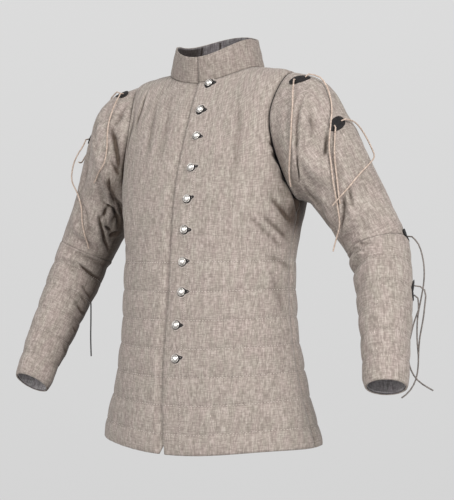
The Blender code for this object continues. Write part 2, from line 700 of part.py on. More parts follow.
PATCH_LENGTH, PATCH_WIDTH, PATCH_WALL = 0.046, 0.025, 0.0018
PATCH_EYELET = 0.011  # from the patch's middle to each eyelet
PATCH_SIDES = 14
# Each patch's middle, in degrees round the sleeve and metres along it, and its slant as for a fold.
PATCHES = dict(
    left_shoulder=(24.0, 0.024, -46.0),
    left_arm=(30.0, 0.105, 88.0),
    left_elbow=(-18.0, 0.306, 86.0),
    left_forearm=(-18.0, 0.412, 8.0),
    right_shoulder=(20.0, 0.022, -44.0),
    right_arm=(24.0, 0.102, 96.0),
    right_elbow=(-18.0, 0.306, 86.0),
    right_forearm=(-18.0, 0.412, 8.0),
)
PATCH_SEAT = 0.0006  # between a patch and the cloth under it

LACE = 0.0030  # diameter
LACE_RISE = 0.0040  # how far it stands straight out of its eyelet
LACE_STEP = 0.0150  # between two points of a lace's tube
# Routes of the laces. Each leaves an eyelet, at the patch's near (-1) or far (1) end, lies "on" the
# sleeve at rows of (along, around, height of its middle), and then hangs free through (x, y, z). A right
# one is given as a left one.
LACES = dict(
    left_shoulder_lace_1=dict(
        eyelet=-1,
        on=(
            (0.030, 50, 0.006),
            (0.036, 64, 0.004),
            (0.041, 78, 0.004),
            (0.046, 93, 0.004),
            (0.048, 108, 0.004),
            (0.046, 125, 0.005),
            (0.042, 140, 0.005),
        ),
    ),
    left_shoulder_lace_2=dict(
        eyelet=1,
        on=(
            (0.042, 12, 0.009),
            (0.057, 13, 0.006),
            (0.083, 27, 0.006),
            (0.101, 44, 0.0085),
            (0.116, 55, 0.006),
            (0.131, 63, 0.005),
            (0.165, 77, 0.0045),
            (0.191, 85, 0.004),
            (0.222, 95, 0.004),
            (0.245, 104, 0.005),
        ),
        free=((0.290, -0.061, -0.355), (0.286, -0.063, -0.373)),
    ),
    left_arm_lace_1=dict(
        eyelet=1,
        on=(
            (0.116, 45, 0.0055),
            (0.132, 55, 0.004),
            (0.155, 66, 0.004),
            (0.175, 73.5, 0.004),
            (0.195, 80.5, 0.004),
            (0.217, 88, 0.004),
        ),
    ),
    left_arm_lace_2=dict(
        eyelet=-1,
        on=(
            (0.114, -8, 0.008),
            (0.132, -20, 0.010),
            (0.150, -22, 0.010),
            (0.162, -12, 0.008),
            (0.172, 6, 0.005),
            (0.189, 44, 0.004),
            (0.198, 62, 0.007),
            (0.205, 78, 0.0098),
            (0.212, 98, 0.0098),
        ),
    ),
    left_elbow_lace=dict(
        eyelet=-1,
        on=(),
        free=(
            (0.421, 0.028, -0.353),
            (0.432, 0.034, -0.390),
            (0.433, 0.035, -0.428),
            (0.428, 0.032, -0.464),
            (0.422, 0.029, -0.500),
            (0.421, 0.028, -0.539),
            (0.423, 0.029, -0.588),
            (0.418, 0.026, -0.622),
            (0.408, 0.020, -0.642),
            (0.395, 0.012, -0.655),
        ),
    ),
    left_forearm_lace_1=dict(
        eyelet=1,
        on=(),
        free=(
            (0.440, -0.011, -0.484),
            (0.434, -0.015, -0.503),
            (0.428, -0.018, -0.528),
            (0.423, -0.020, -0.557),
            (0.426, -0.020, -0.594),
            (0.438, -0.014, -0.617),
            (0.452, -0.006, -0.629),
            (0.464, 0.001, -0.637),
        ),
    ),
    left_forearm_lace_2=dict(
        eyelet=-1,
        on=(),
        free=(
            (0.446, 0.004, -0.446),
            (0.447, 0.003, -0.475),
            (0.444, 0.001, -0.504),
            (0.439, -0.004, -0.540),
            (0.437, -0.006, -0.581),
        ),
    ),
    right_shoulder_lace_1=dict(
        eyelet=-1,
        on=(
            (0.022, 46, 0.006),
            (0.026, 62, 0.004),
            (0.027, 78, 0.004),
            (0.028, 92, 0.004),
            (0.038, 106, 0.004),
            (0.060, 109, 0.004),
            (0.092, 105, 0.004),
            (0.118, 102, 0.004),
        ),
    ),
    right_shoulder_lace_2=dict(
        eyelet=1,
        on=((0.048, 8, 0.006), (0.070, -6, 0.004), (0.100, -14, 0.004), (0.140, -12, 0.004), (0.178, -4, 0.004)),
    ),
    right_arm_lace_1=dict(
        eyelet=1,
        on=(
            (0.108, 44, 0.010),
            (0.125, 44, 0.017),
            (0.142, 46, 0.021),
            (0.165, 48, 0.019),
            (0.174, 52, 0.014),
            (0.184, 64, 0.006),
            (0.201, 84, 0.004),
            (0.233, 96, 0.004),
            (0.271, 116, 0.004),
            (0.296, 130, 0.004),
        ),
    ),
    right_arm_lace_2=dict(
        eyelet=-1,
        on=((0.122, 6, 0.008), (0.134, 18, 0.006), (0.140, 32, 0.005), (0.136, 44, 0.011)),
    ),
    right_elbow_lace=dict(
        eyelet=-1,
        on=(),
        free=(
            (0.405, 0.040, -0.360),
            (0.399, 0.048, -0.392),
            (0.389, 0.050, -0.430),
            (0.382, 0.047, -0.470),
            (0.379, 0.044, -0.510),
            (0.378, 0.042, -0.555),
            (0.375, 0.040, -0.598),
        ),
    ),
    right_forearm_lace_1=dict(
        eyelet=1,
        on=(),
        free=(
            (0.434, -0.010, -0.484),
            (0.430, -0.012, -0.510),
            (0.425, -0.014, -0.540),
            (0.424, -0.016, -0.575),
            (0.430, -0.012, -0.606),
        ),
    ),
    right_forearm_lace_2=dict(
        eyelet=-1,
        on=(),
        free=((0.443, 0.006, -0.446), (0.444, 0.005, -0.478), (0.440, 0.004, -0.512), (0.438, 0.000, -0.552)),
    ),
)


def patch_spot(side, name, forward, sideways):
    """(around, along) of points forward and sideways from a patch's middle, in metres over the cloth."""
    around, along, tilt = PATCHES[f"{side}_{name}"]
    turn = math.radians(tilt)
    span = sleeve_base(side, [around - 3.0, around + 3.0, around, around], [along, along, along - 0.01, along + 0.01])
    per_degree = np.linalg.norm(span[1] - span[0]) / 6
    per_metre = np.linalg.norm(span[3] - span[2]) / 0.02
    run = np.asarray(forward) * math.cos(turn) - np.asarray(sideways) * math.sin(turn)
    off = np.asarray(forward) * math.sin(turn) + np.asarray(sideways) * math.cos(turn)
    return around + off / per_degree, along + run / per_metre


def patch_point(side, name, forward, sideways, lift):
    return sleeve_surface(side, *patch_spot(side, name, forward, sideways), lift)


def make_patch(side, name, finish):
    flip = MIRROR if side == "right" else np.ones(3)
    turn = np.arange(PATCH_SIDES) * 2 * math.pi / PATCH_SIDES
    long = np.cos(turn) * PATCH_LENGTH / 2
    wide = np.sign(np.sin(turn)) * np.abs(np.sin(turn)) ** 0.9 * PATCH_WIDTH / 2
    seat = PATCH_SEAT
    points = [patch_point(side, name, [0.0], [0.0], seat), patch_point(side, name, long * 0.55, wide * 0.55, seat)]
    points += [patch_point(side, name, long, wide, seat), patch_point(side, name, long, wide, seat + PATCH_WALL)]
    points += [patch_point(side, name, long * 0.55, wide * 0.55, seat + PATCH_WALL)]
    points += [patch_point(side, name, [0.0], [0.0], seat + PATCH_WALL)]
    number = 1 + np.arange(4 * PATCH_SIDES).reshape(4, PATCH_SIDES)
    faces = cells(number, True)
    last = 4 * PATCH_SIDES + 1
    for k in range(PATCH_SIDES):
        after = (k + 1) % PATCH_SIDES
        faces.append((0, int(number[0, after]), int(number[0, k])))
        faces.append((last, int(number[-1, k]), int(number[-1, after])))
    add_mesh(f"{side}_{name}_patch", np.concatenate(points) * flip, faces, finish, 40)


def lace_points(name):
    """Points down the middle of a lace, given as on the left side. The first two stand it off its patch."""
    side, patch = name.split("_")[:2]
    route = LACES[name]
    around, along = patch_spot(side, patch, [route["eyelet"] * PATCH_EYELET], [0.0])
    low = PATCH_SEAT + PATCH_WALL + 2 * SEAM
    foot = sleeve_surface(side, around, along, low)
    rows = np.array([(along[0], around[0], low + LACE_RISE), *route["on"]], float)
    fine = np.linspace(0, len(rows) - 1, 8 * (len(rows) - 1) + 1)
    if len(rows) > 1:
        along, around, height = (smooth(np.arange(len(rows)), rows[:, k], fine) for k in range(3))
    else:
        along, around, height = rows.T
    points = sleeve_surface(side, around, along, height)
    if "free" in route:
        points = np.concatenate([points, np.array(route["free"])])
    gone = np.concatenate([[0], np.cumsum(np.linalg.norm(np.diff(points, axis=0), axis=1))])
    fine = np.linspace(0, gone[-1], round(gone[-1] / 0.002))
    line = np.stack([smooth(gone, points[:, k], fine) for k in range(3)], -1)
    gone = np.concatenate([[0], np.cumsum(np.linalg.norm(np.diff(line, axis=0), axis=1))])
    even = np.linspace(0, gone[-1], round(gone[-1] / LACE_STEP) + 1)
    return np.concatenate([foot, np.stack([np.interp(even, gone, line[:, k]) for k in range(3)], -1)])


def make_lace(name, finish):
    points = lace_points(name) * (MIRROR if name.startswith("right") else np.ones(3))
    curve = bpy.data.curves.new(name, "CURVE")
    curve.dimensions = "3D"
    curve.bevel_depth = LACE / 2
    curve.bevel_resolution = 2
    curve.use_fill_caps = True
    line = curve.splines.new("POLY")
    line.points.add(len(points) - 1)
    for place, point in zip(line.points, points):
        place.co = (*point, 1)
    curve.materials.append(finish)
    made = bpy.data.objects.new(name, curve)
    bpy.context.scene.collection.objects.link(made)


def main():
    for old in list(bpy.data.objects):
        bpy.data.objects.remove(old, do_unlink=True)
    cloth = material("linen", (0.43, 0.36, 0.31), 0.92)
    lining = material("lining_linen", (0.14, 0.12, 0.12), 0.9)
    pewter = material("pewter", (0.62, 0.6, 0.57), 0.35, 1.0)
    leather = material("black_leather", (0.02, 0.018, 0.018), 0.5)
    thong = material("leather_lace", (0.5, 0.4, 0.3), 0.7)
    make_fronts(cloth)
    make_back(cloth)
    make_collar(cloth, lining)
    for side in ("left", "right"):
        make_sleeve(side, cloth, lining)
        for name in ("shoulder", "arm", "elbow", "forearm"):
            make_patch(side, name, leather)
    for name in LACES:
        make_lace(name, thong)
    make_buttons(pewter)


main()
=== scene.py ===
"""Looks of the gambeson: a quilted linen arming jacket, standing as it is worn, with nobody in it.

Metres, +Z up. The front faces -Y and the wearer's left is +X. The first half of this script repeats the
forms and the lace routes of the CAD part, on finer grids; the second half gives them their cloth, folds,
stitching, buttons, patches and laces.
"""

import math

import bmesh
import bpy
import numpy as np
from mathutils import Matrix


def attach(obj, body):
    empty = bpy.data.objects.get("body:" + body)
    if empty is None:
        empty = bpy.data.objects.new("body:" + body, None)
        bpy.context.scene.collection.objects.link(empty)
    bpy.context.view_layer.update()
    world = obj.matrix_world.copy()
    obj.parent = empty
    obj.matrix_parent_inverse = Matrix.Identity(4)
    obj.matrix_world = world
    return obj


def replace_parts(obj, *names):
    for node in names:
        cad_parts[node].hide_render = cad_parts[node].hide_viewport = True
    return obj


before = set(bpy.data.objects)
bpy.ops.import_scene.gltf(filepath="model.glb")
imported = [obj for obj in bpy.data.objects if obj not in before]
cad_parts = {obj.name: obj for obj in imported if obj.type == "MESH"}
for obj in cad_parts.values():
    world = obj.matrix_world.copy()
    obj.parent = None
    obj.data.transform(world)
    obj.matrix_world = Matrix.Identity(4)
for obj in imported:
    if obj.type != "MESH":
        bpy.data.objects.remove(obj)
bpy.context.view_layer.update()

# ---- driving dimensions, in metres and degrees ----
WALL = 0.0034  # cloth, wadding and lining where a quilting seam presses them together
SEAM = 0.0003  # gap between two pieces that are sewn together
PUFF_SKIRT = 0.0030  # how far the wadding swells between two quilting seams
PUFF_CHEST = 0.0016
PUFF_SLEEVE = 0.0026
PUFF_COLLAR = 0.0012

SHOULDER_TIP = 0.080  # how far down the rings the shoulder seam meets the sleeve
UNDERARM = 0.270
WAIST_SEAM = 0.393  # first of the quilting seams that run round the body
HEM = 0.775
SKIRT_CHANNELS = 7
SKIRT_PITCH = 0.057  # between two of those seams
SKIRT_SEAMS = np.append(WAIST_SEAM + SKIRT_PITCH * np.arange(SKIRT_CHANNELS), HEM)
HEM_LIFT = 0.005  # how much the front's hem rises between the middle and the side
ARMHOLE_FRONT = 34.0  # how far the armhole bites into the front, in degrees round the ring
ARMHOLE_BACK = 30.0
ARMHOLE_TOP = 0.3  # how much more it bites at its top, and less at its foot
VENT_TOP = 0.715  # the side seams are open below this
VENT_OPEN = 0.7  # degrees that each side of the vent stands back at the hem

# Where the left front ends, on top, at levels down the body: its edge swings to the wearer's left towards
# the neck.
OPENING_DOWN = np.array([0.0, 0.07, 0.15, 0.22, 0.30, 0.45, 0.60, 0.70, 0.775])
OPENING_X = np.array([0.0035, 0.0, -0.004, -0.009, -0.0135, -0.017, -0.022, -0.020, -0.014])
UNDERLAP = 0.036  # the right front goes on this far underneath
SINK = 0.0044  # the right front lies this much lower where it is covered
SINK_WIDTH = 0.022  # and the dip takes this far to get there
SPREAD_FROM = 0.640  # below this the right front swings away from under the left
SPREAD = 0.050
SPREAD_CURVE = 1.6

CHANNELS = 6  # quilted channels from the centre front to the side
STEPS = 15  # mesh cells across each channel
NECK_STEPS = 36  # cells along the neck seam from the centre to the shoulder seam
COLUMNS = CHANNELS * STEPS
ARM_ROWS = 54  # rows from the shoulder seam to the underarm
WAIST_ROWS = 36
SKIRT_ROWS = SKIRT_CHANNELS * STEPS
ROUND = 3 * ARM_ROWS  # cells round a sleeve

# Rings of the body, from the neck seam down. "down" names the ring. z and y are given at the centre
# front, the side and the centre back, and squareness is 2 for an oval.
TORSO_COLUMNS = "down z_front z_side z_back half_width y_front y_side y_back squareness"
TORSO_ROWS = (
    (0.000, -0.028, 0.006, 0.024, 0.102, -0.098, -0.021, 0.070, 2.0),
    (0.040, -0.070, 0.001, -0.014, 0.136, -0.116, -0.022, 0.088, 2.0),
    (0.080, -0.112, -0.012, -0.056, 0.179, -0.131, -0.024, 0.100, 2.1),
    (0.140, -0.160, -0.082, -0.118, 0.197, -0.146, -0.026, 0.106, 2.2),
    (0.205, -0.212, -0.180, -0.194, 0.203, -0.158, -0.030, 0.104, 2.3),
    (0.270, -0.270, -0.270, -0.270, 0.201, -0.166, -0.036, 0.093, 2.3),
    (0.335, -0.335, -0.334, -0.335, 0.192, -0.170, -0.045, 0.079, 2.2),
    (0.400, -0.400, -0.397, -0.399, 0.186, -0.173, -0.051, 0.069, 2.2),
    (0.480, -0.480, -0.475, -0.478, 0.187, -0.179, -0.052, 0.070, 2.2),
    (0.580, -0.578, -0.568, -0.574, 0.195, -0.187, -0.050, 0.083, 2.1),
    (0.680, -0.674, -0.661, -0.669, 0.215, -0.193, -0.048, 0.098, 2.1),
    (0.775, -0.767, -0.753, -0.760, 0.239, -0.197, -0.045, 0.113, 2.1),
)

# Oval rings of a sleeve (the left one). "lean" is how far its axis leans out from straight down and
# "reach" how far forward, in degrees; "across" is the half width from underside to top.
SLEEVE_COLUMNS = "along x y z lean reach across fore"
SLEEVE_ROWS = (
    (0.045, 0.228, -0.028, -0.154, 80, 0, 0.119, 0.094),
    (0.095, 0.252, -0.022, -0.188, 64, 0, 0.095, 0.086),
    (0.155, 0.278, -0.013, -0.231, 42, 0, 0.074, 0.075),
    (0.235, 0.314, -0.004, -0.298, 28, 0, 0.065, 0.067),
    (0.310, 0.350, 0.000, -0.362, 21, 9, 0.059, 0.062),
    (0.360, 0.366, -0.014, -0.408, 15, 20, 0.056, 0.059),
    (0.440, 0.384, -0.047, -0.481, 11, 23, 0.051, 0.054),
    (0.530, 0.401, -0.084, -0.562, 11, 23, 0.045, 0.049),
    (0.615, 0.416, -0.118, -0.640, 11, 23, 0.040, 0.043),
)
ELBOW = 0.310
CUFF = 0.615
# The arms hang a little unevenly: how far each cuff is out and up from the rows above, and its size.
ARMS = dict(left=dict(out=0.003, up=0.016, size=0.96), right=dict(out=-0.008, up=-0.008, size=0.91))
UPPER_ROWS = 138
LOWER_CHANNELS = 6
LOWER_STEPS = 22  # mesh cells across each of those channels
LOWER_ROWS = LOWER_CHANNELS * LOWER_STEPS
LOWER_PITCH = (CUFF - ELBOW) / LOWER_CHANNELS

# Collar: its upper rim. The lower rim is the neck seam.
RIM = dict(
    half_width=0.087, z_front=0.023, z_side=0.064, z_back=0.090, y_front=-0.102, y_side=-0.02, y_back=0.064
)
COLLAR_ROWS = 24
COLLAR_GAP = 0.0012  # between the collar's two ends
LINING_WALL = 0.0010

BUTTON_RADIUS = 0.0078
BUTTON_DOME = 0.0052
BUTTON_SHANK = 0.0024
# Each button's place: in from the left front's edge, and down from the neck seam.
BUTTON_IN = (0.025, 0.022, 0.028, 0.030, 0.031, 0.030, 0.029, 0.031, 0.025, 0.030)
BUTTON_DOWN = (0.006, 0.058, 0.118, 0.198, 0.268, 0.329, 0.392, 0.451, 0.516, 0.583)


def named_columns(names, rows):
    """A dict of one array for each named column."""
    return dict(zip(names.split(), np.array(rows, float).T))


TORSO = named_columns(TORSO_COLUMNS, TORSO_ROWS)
SLEEVE = named_columns(SLEEVE_COLUMNS, SLEEVE_ROWS)


def smooth(knots, values, at):
    """Reads a smooth curve through values[i] at knots[i]. values may hold several points for each knot,
    shape (knots, points, 3), and then each point is read at its own place."""
    at = np.asarray(at, float)
    step = np.diff(knots)
    wide = step.reshape((-1,) + (1,) * (values.ndim - 1))
    rise = np.diff(values, axis=0) / wide
    slope = np.empty_like(values)
    slope[1:-1] = (rise[:-1] * wide[1:] + rise[1:] * wide[:-1]) / (wide[:-1] + wide[1:])
    slope[0] = 1.5 * rise[0] - 0.5 * slope[1]
    slope[-1] = 1.5 * rise[-1] - 0.5 * slope[-2]
    i = np.clip(np.searchsorted(knots, at, "right") - 1, 0, len(knots) - 2)
    h, t = step[i], (at - knots[i]) / step[i]
    if values.ndim == 1:
        pick = lambda a, k: a[k]
    else:
        column = np.arange(values.shape[1])
        pick = lambda a, k: a[k, column]
        h, t = h[:, None], t[:, None]
    return (
        (2 * t**3 - 3 * t**2 + 1) * pick(values, i)
        + (t**3 - 2 * t**2 + t) * h * pick(slope, i)
        + (3 * t**2 - 2 * t**3) * pick(values, i + 1)
        + (t**3 - t**2) * h * pick(slope, i + 1)
    )


def torso_size(name, down):
    return smooth(TORSO["down"], TORSO[name], down)


def torso_point(theta, down):
    """Points on the body's skin before quilting."""
    theta, down = np.broadcast_arrays(np.asarray(theta, float), np.asarray(down, float))
    s, c = np.sin(np.radians(theta)), np.cos(np.radians(theta))
    power = 2 / torso_size("squareness", down)
    front = c > 0
    y_end = np.where(front, torso_size("y_front", down), torso_size("y_back", down))
    z_end = np.where(front, torso_size("z_front", down), torso_size("z_back", down))
    y_side, z_side = torso_size("y_side", down), torso_size("z_side", down)
    x = torso_size("half_width", down) * np.sign(s) * np.abs(s) ** power
    y = y_side + (y_end - y_side) * np.abs(c) ** power
    z = z_side + (z_end - z_side) * np.abs(c) ** 2
    z = z + HEM_LIFT * ease((down - SPREAD_FROM) / (HEM - SPREAD_FROM)) * (2 * s * c) ** 2 * front
    return np.stack([x, y, z], -1)


def unit(v):
    return v / np.maximum(np.linalg.norm(v, axis=-1, keepdims=True), 1e-12)


def torso_normal(theta, down):
    turn, fall = 0.6, 0.002
    across = torso_point(np.add(theta, turn), down) - torso_point(np.subtract(theta, turn), down)
    along = torso_point(theta, np.add(down, fall)) - torso_point(theta, np.subtract(down, fall))
    return unit(np.cross(along, across))


def theta_of(x, down):
    """The angle round the ring at which the skin is x from the middle, on the front."""
    share = np.clip(np.abs(x) / torso_size("half_width", down), 0, 1)
    return np.sign(x) * np.degrees(np.arcsin(share ** (torso_size("squareness", down) / 2)))


def x_of(theta, down):
    return torso_size("half_width", down) * np.sin(np.radians(theta)) ** (2 / torso_size("squareness", down))


def armhole_turn(down, bite):
    """How far from the side seam the armhole's edge is, in degrees, at each level."""
    level = np.clip((down - SHOULDER_TIP) / (UNDERARM - SHOULDER_TIP), 0, 1)
    return bite * np.sqrt(np.clip(1 - (2 * level - 1) ** 2, 0, 1)) * (1 + ARMHOLE_TOP * (1 - 2 * level))


def outer_theta(down, bite):
    """Where a panel ends on its outer side: at the armhole, the side seam or the vent."""
    vent = VENT_OPEN * np.clip((down - VENT_TOP) / (HEM - VENT_TOP), 0, 1)
    return 90 - armhole_turn(down, bite) - vent


def ease(t):
    t = np.clip(t, 0, 1)
    return t * t * (3 - 2 * t)


def panel_grid(edge_of, bite):
    """(theta, down) of a half panel's mesh, [row, column]. Column 0 is the centre edge and the last one
    the armhole and side seam; row 0 is the neck and shoulder seam and the last one the hem."""
    column = np.arange(COLUMNS + 1)
    share = np.sin(np.pi / 2 * column / COLUMNS)
    neck, tip = torso_size("half_width", 0.0), torso_size("half_width", SHOULDER_TIP)
    edge = edge_of(0.0)
    top_x = np.where(
        column <= NECK_STEPS,
        edge + (neck - edge) * np.sin(np.pi / 2 * np.minimum(column / NECK_STEPS, 1)),
        neck + (tip - neck) * (column - NECK_STEPS) / (COLUMNS - NECK_STEPS),
    )
    levels = np.linspace(0, SHOULDER_TIP, 200)
    top = np.interp(top_x, torso_size("half_width", levels), levels)
    top[: NECK_STEPS + 1] = 0.0
    top[-1] = SHOULDER_TIP
    rows = []
    for row in range(ARM_ROWS + 1):
        even = row / ARM_ROWS
        round_ends = (1 - math.cos(math.pi * even)) / 2
        mix = even + (round_ends - even) * (column / COLUMNS) ** 2
        rows.append(top + (UNDERARM - top) * mix)
    for row in range(1, WAIST_ROWS + 1):
        rows.append(np.full(COLUMNS + 1, UNDERARM + (WAIST_SEAM - UNDERARM) * row / WAIST_ROWS))
    for row in range(1, SKIRT_ROWS + 1):
        rows.append(np.full(COLUMNS + 1, np.interp(row / STEPS, np.arange(SKIRT_CHANNELS + 1), SKIRT_SEAMS)))
    down = np.array(rows)
    edge = edge_of(down)
    reach = np.where(down < SHOULDER_TIP, tip, x_of(outer_theta(down, bite), down))
    top_share = (top_x - edge[0]) / (tip - edge[0])
    even_from = 0.2  # below the neck and shoulder seam
    fade = ease((down - top) / even_from)
    x = edge + (reach - edge) * (top_share + (share - top_share) * fade)
    theta = theta_of(x, down)
    theta[0, NECK_STEPS:] = 90
    theta[ARM_ROWS:, -1] = outer_theta(down[ARM_ROWS:, -1], bite)
    theta[: ARM_ROWS + 1, -1] = outer_theta(down[: ARM_ROWS + 1, -1], bite)
    return theta, down


def puff_profile(share):
    """Height of the wadding across a channel, from one quilting seam (0) to the next (1)."""
    fullness = 0.6  # below 1, which is a parabola, it stands steeper at the seams
    return np.clip(4 * share * (1 - share), 0, 1) ** fullness


# ---- sleeves ----


def armhole_point(around):
    """The armhole's edge on the left side. around is 0 at the shoulder, 90 in front, 180 underneath."""
    turn = np.radians(np.asarray(around, float))
    down = SHOULDER_TIP + (UNDERARM - SHOULDER_TIP) * (1 - np.cos(turn)) / 2
    bite = np.where(np.sin(turn) > 0, ARMHOLE_FRONT, ARMHOLE_BACK) * (1 + ARMHOLE_TOP * np.cos(turn))
    return torso_point(90 - bite * np.sin(turn), down), down, 90 - bite * np.sin(turn)


def sleeve_ring(side, row, around):
    """Points round one oval ring of a sleeve, the right one as if it were a left one."""
    lean, reach = math.radians(row["lean"]), math.radians(row["reach"])
    axis = unit(np.array([math.sin(lean), -math.sin(reach), -math.cos(lean) * math.cos(reach)]))
    top = unit(np.array([1.0, 0, 0]) - axis[0] * axis)
    fore = np.cross(axis, top)
    turn = np.radians(around)[:, None]
    arm = ARMS[side]
    below = max(0.0, (row["along"] - ELBOW) / (CUFF - ELBOW))
    size = 1 + (arm["size"] - 1) * below
    centre = np.array([row["x"] + arm["out"] * below, row["y"], row["z"] + arm["up"] * below])
    return centre + size * (top * row["across"] * np.cos(turn) + fore * row["fore"] * np.sin(turn))


def sleeve_base(side, around, along):
    """Points on a sleeve's skin, before folds and quilting. The right one is given as a left one."""
    around, along = (np.ravel(a) for a in np.broadcast_arrays(np.asarray(around, float), along))
    rings = [armhole_point(around)[0]]
    for i in range(len(SLEEVE["along"])):
        rings.append(sleeve_ring(side, {key: SLEEVE[key][i] for key in SLEEVE}, around))
    return smooth(np.concatenate([[0.0], SLEEVE["along"]]), np.array(rings), along)


def sleeve_frame(side, around, along):
    """(point, direction along the sleeve, outward normal) on a sleeve's skin."""
    turn, step = 0.8, 0.002
    beside = lambda round_by, down_by: sleeve_base(side, np.add(around, round_by), np.add(along, down_by))
    across, down = beside(turn, 0) - beside(-turn, 0), beside(0, step) - beside(0, -step)
    return beside(0, 0), unit(down), unit(np.cross(across, down))


# Main folds of a sleeve. "turn" is the fold's slant: 0 runs along the sleeve and 90 round it. Lengths
# are half lengths, and a positive height is a ridge.
FOLD_COLUMNS = "along around turn length width height"
FOLD_ROWS = (
    (0.110, 62, 8, 0.060, 0.011, -0.0065),
    (0.120, 96, -6, 0.050, 0.014, 0.0050),
    (0.150, 118, 20, 0.050, 0.012, -0.0060),
    (0.205, 40, 5, 0.050, 0.014, -0.0040),
    (0.225, 150, 30, 0.040, 0.012, -0.0050),
    (0.262, 95, 55, 0.034, 0.011, 0.0045),
    (0.285, 120, 78, 0.034, 0.010, -0.0060),
    (0.320, 135, 84, 0.040, 0.010, -0.0070),
    (0.342, 110, 96, 0.034, 0.010, 0.0050),
    (0.362, 140, 88, 0.036, 0.010, -0.0060),
    (0.120, 250, -10, 0.055, 0.013, -0.0055),
    (0.190, 295, 12, 0.050, 0.014, -0.0040),
    (0.330, 225, 80, 0.036, 0.012, -0.0050),
    (0.420, 150, 70, 0.036, 0.012, -0.0035),
)
FOLDS = named_columns(FOLD_COLUMNS, FOLD_ROWS)


def fold_height(around, along):
    """The folds' height off the sleeve's skin."""
    around, along = np.broadcast_arrays(np.asarray(around, float), np.asarray(along, float))
    height = np.zeros(around.shape)
    radius = np.interp(along, SLEEVE["along"], SLEEVE["across"])
    for i in range(len(FOLDS["along"])):
        gap = (around - FOLDS["around"][i] + 180) % 360 - 180
        p, q = along - FOLDS["along"][i], np.radians(gap) * radius
        turn = math.radians(FOLDS["turn"][i])
        run = p * math.cos(turn) + q * math.sin(turn)
        off = q * math.cos(turn) - p * math.sin(turn)
        away = (run / FOLDS["length"][i]) ** 2 + (off / FOLDS["width"][i]) ** 2
        height += FOLDS["height"][i] * np.exp(-away)
    near_end, near_elbow = 0.03, 0.012
    ends = ease(along / near_end) * ease((CUFF - along) / near_end)
    return height * ends * ease(np.abs(along - ELBOW) / near_elbow)


def sleeve_puff(along):
    channel = (along - ELBOW) / (CUFF - ELBOW) * LOWER_CHANNELS
    return np.where(along > ELBOW, PUFF_SLEEVE * puff_profile(channel % 1.0), 0.0)


def sleeve_surface(side, around, along, lift):
    """Points lift above a sleeve's finished outer skin."""
    point, _, normal = sleeve_frame(side, around, along)
    around, along = (np.ravel(a) for a in np.broadcast_arrays(np.asarray(around, float), along))
    height = np.ravel(lift) + fold_height(around, along) + sleeve_puff(along)
    return point + normal * height[:, None]


# ---- the seams' shared edges ----


def collar_point(theta, share):
    """The collar's skin: share is 0 at the neck seam and 1 at the rim."""
    base = torso_point(theta, 0.0)
    s, c = np.sin(np.radians(theta)), np.cos(np.radians(theta))
    y_end = np.where(c > 0, RIM["y_front"], RIM["y_back"])
    z_end = np.where(c > 0, RIM["z_front"], RIM["z_back"])
    rim = np.stack(
        [
            RIM["half_width"] * s,
            RIM["y_side"] + (y_end - RIM["y_side"]) * np.abs(c),
            RIM["z_side"] + (z_end - RIM["z_side"]) * np.abs(c) ** 2,
        ],
        -1,
    )
    share = np.asarray(share, float)
    share = share[..., None] if share.ndim else share
    return base + (rim - base) * share


def collar_normal(theta):
    turn, middle = 0.6, 0.5
    across = collar_point(np.add(theta, turn), middle) - collar_point(np.subtract(theta, turn), middle)
    up = collar_point(theta, 1.0) - collar_point(theta, 0.0)
    return unit(np.cross(across, up))


BY_SEAM = 0.004  # how far down the sleeve its direction at the armhole is read


def seam_depth(own, other):
    """The step from a seam's outer line to its inner one, for a wall whose skin faces own, where it meets
    one that faces other: both walls end on the plane half way between them."""
    middle, sharpest = unit(own + other), 0.42
    return middle * (WALL / np.maximum((middle * own).sum(-1), sharpest))[..., None]


def armhole_depth(side, around):
    """The same step at an armhole, given as the left one."""
    _, down, theta = armhole_point(around)
    own = torso_normal(theta, down)
    return seam_depth(own, sleeve_frame(side, around, np.full(np.shape(around), BY_SEAM))[2])


def armhole_clear(side, around):
    """The direction from the body's edge to the sleeve's, square to the seam and to its depth."""
    seam = armhole_point(np.add(around, 1.0))[0] - armhole_point(np.subtract(around, 1.0))[0]
    away = unit(np.cross(seam, armhole_depth(side, around)))
    along = sleeve_frame(side, around, np.full(np.shape(around), BY_SEAM))[1]
    return away * np.sign((away * along).sum(-1))[:, None]


def neck_depth(theta):
    return seam_depth(torso_normal(theta, 0.0), collar_normal(theta))


def dip_of(x, down):
    """How much lower the right front lies where the left one covers it, x being given as on the left."""
    return SINK * ease((SINK_WIDTH - x - left_edge(down)) / SINK_WIDTH)


FLIP = dict(left=np.ones(3), right=np.array([-1.0, 1.0, 1.0]))


def left_edge(down):
    return smooth(OPENING_DOWN, OPENING_X, np.clip(down, 0, HEM))


def right_edge(down):
    swing = np.clip((np.asarray(down, float) - SPREAD_FROM) / (HEM - SPREAD_FROM), 0, 1)
    return SPREAD * swing**SPREAD_CURVE - UNDERLAP - left_edge(down)


def collar_thetas():
    """Angles of the collar's columns: those of the panels' neck seams, round from front to front."""
    neck = torso_size("half_width", 0.0)
    step = np.sin(np.pi / 2 * np.arange(NECK_STEPS + 1) / NECK_STEPS)
    edge, under = float(left_edge(0.0)), float(right_edge(0.0))
    left = theta_of(edge + (neck - edge) * step, 0.0)
    right = theta_of(under + (neck - under) * step, 0.0)
    half_back = theta_of(neck * step, 0.0)
    start = COLLAR_GAP - edge
    first, closest = math.degrees(math.asin(start / neck)), 2
    right = np.concatenate([[first], right[right > first + closest]])
    round_back = np.concatenate([180 - half_back[::-1], 180 + half_back[1:]])
    return np.concatenate([left[:-1], round_back, 360 - right[::-1][1:]])


def collar_skin(theta, share):
    """The collar's skin, which dips at its right end with the right front."""
    point = collar_point(theta, share)
    dip = np.where(theta > 180, dip_of(-point[:, 0], 0.0), 0.0) * (1 - share)
    return point - torso_normal(theta, 0.0) * dip[:, None]


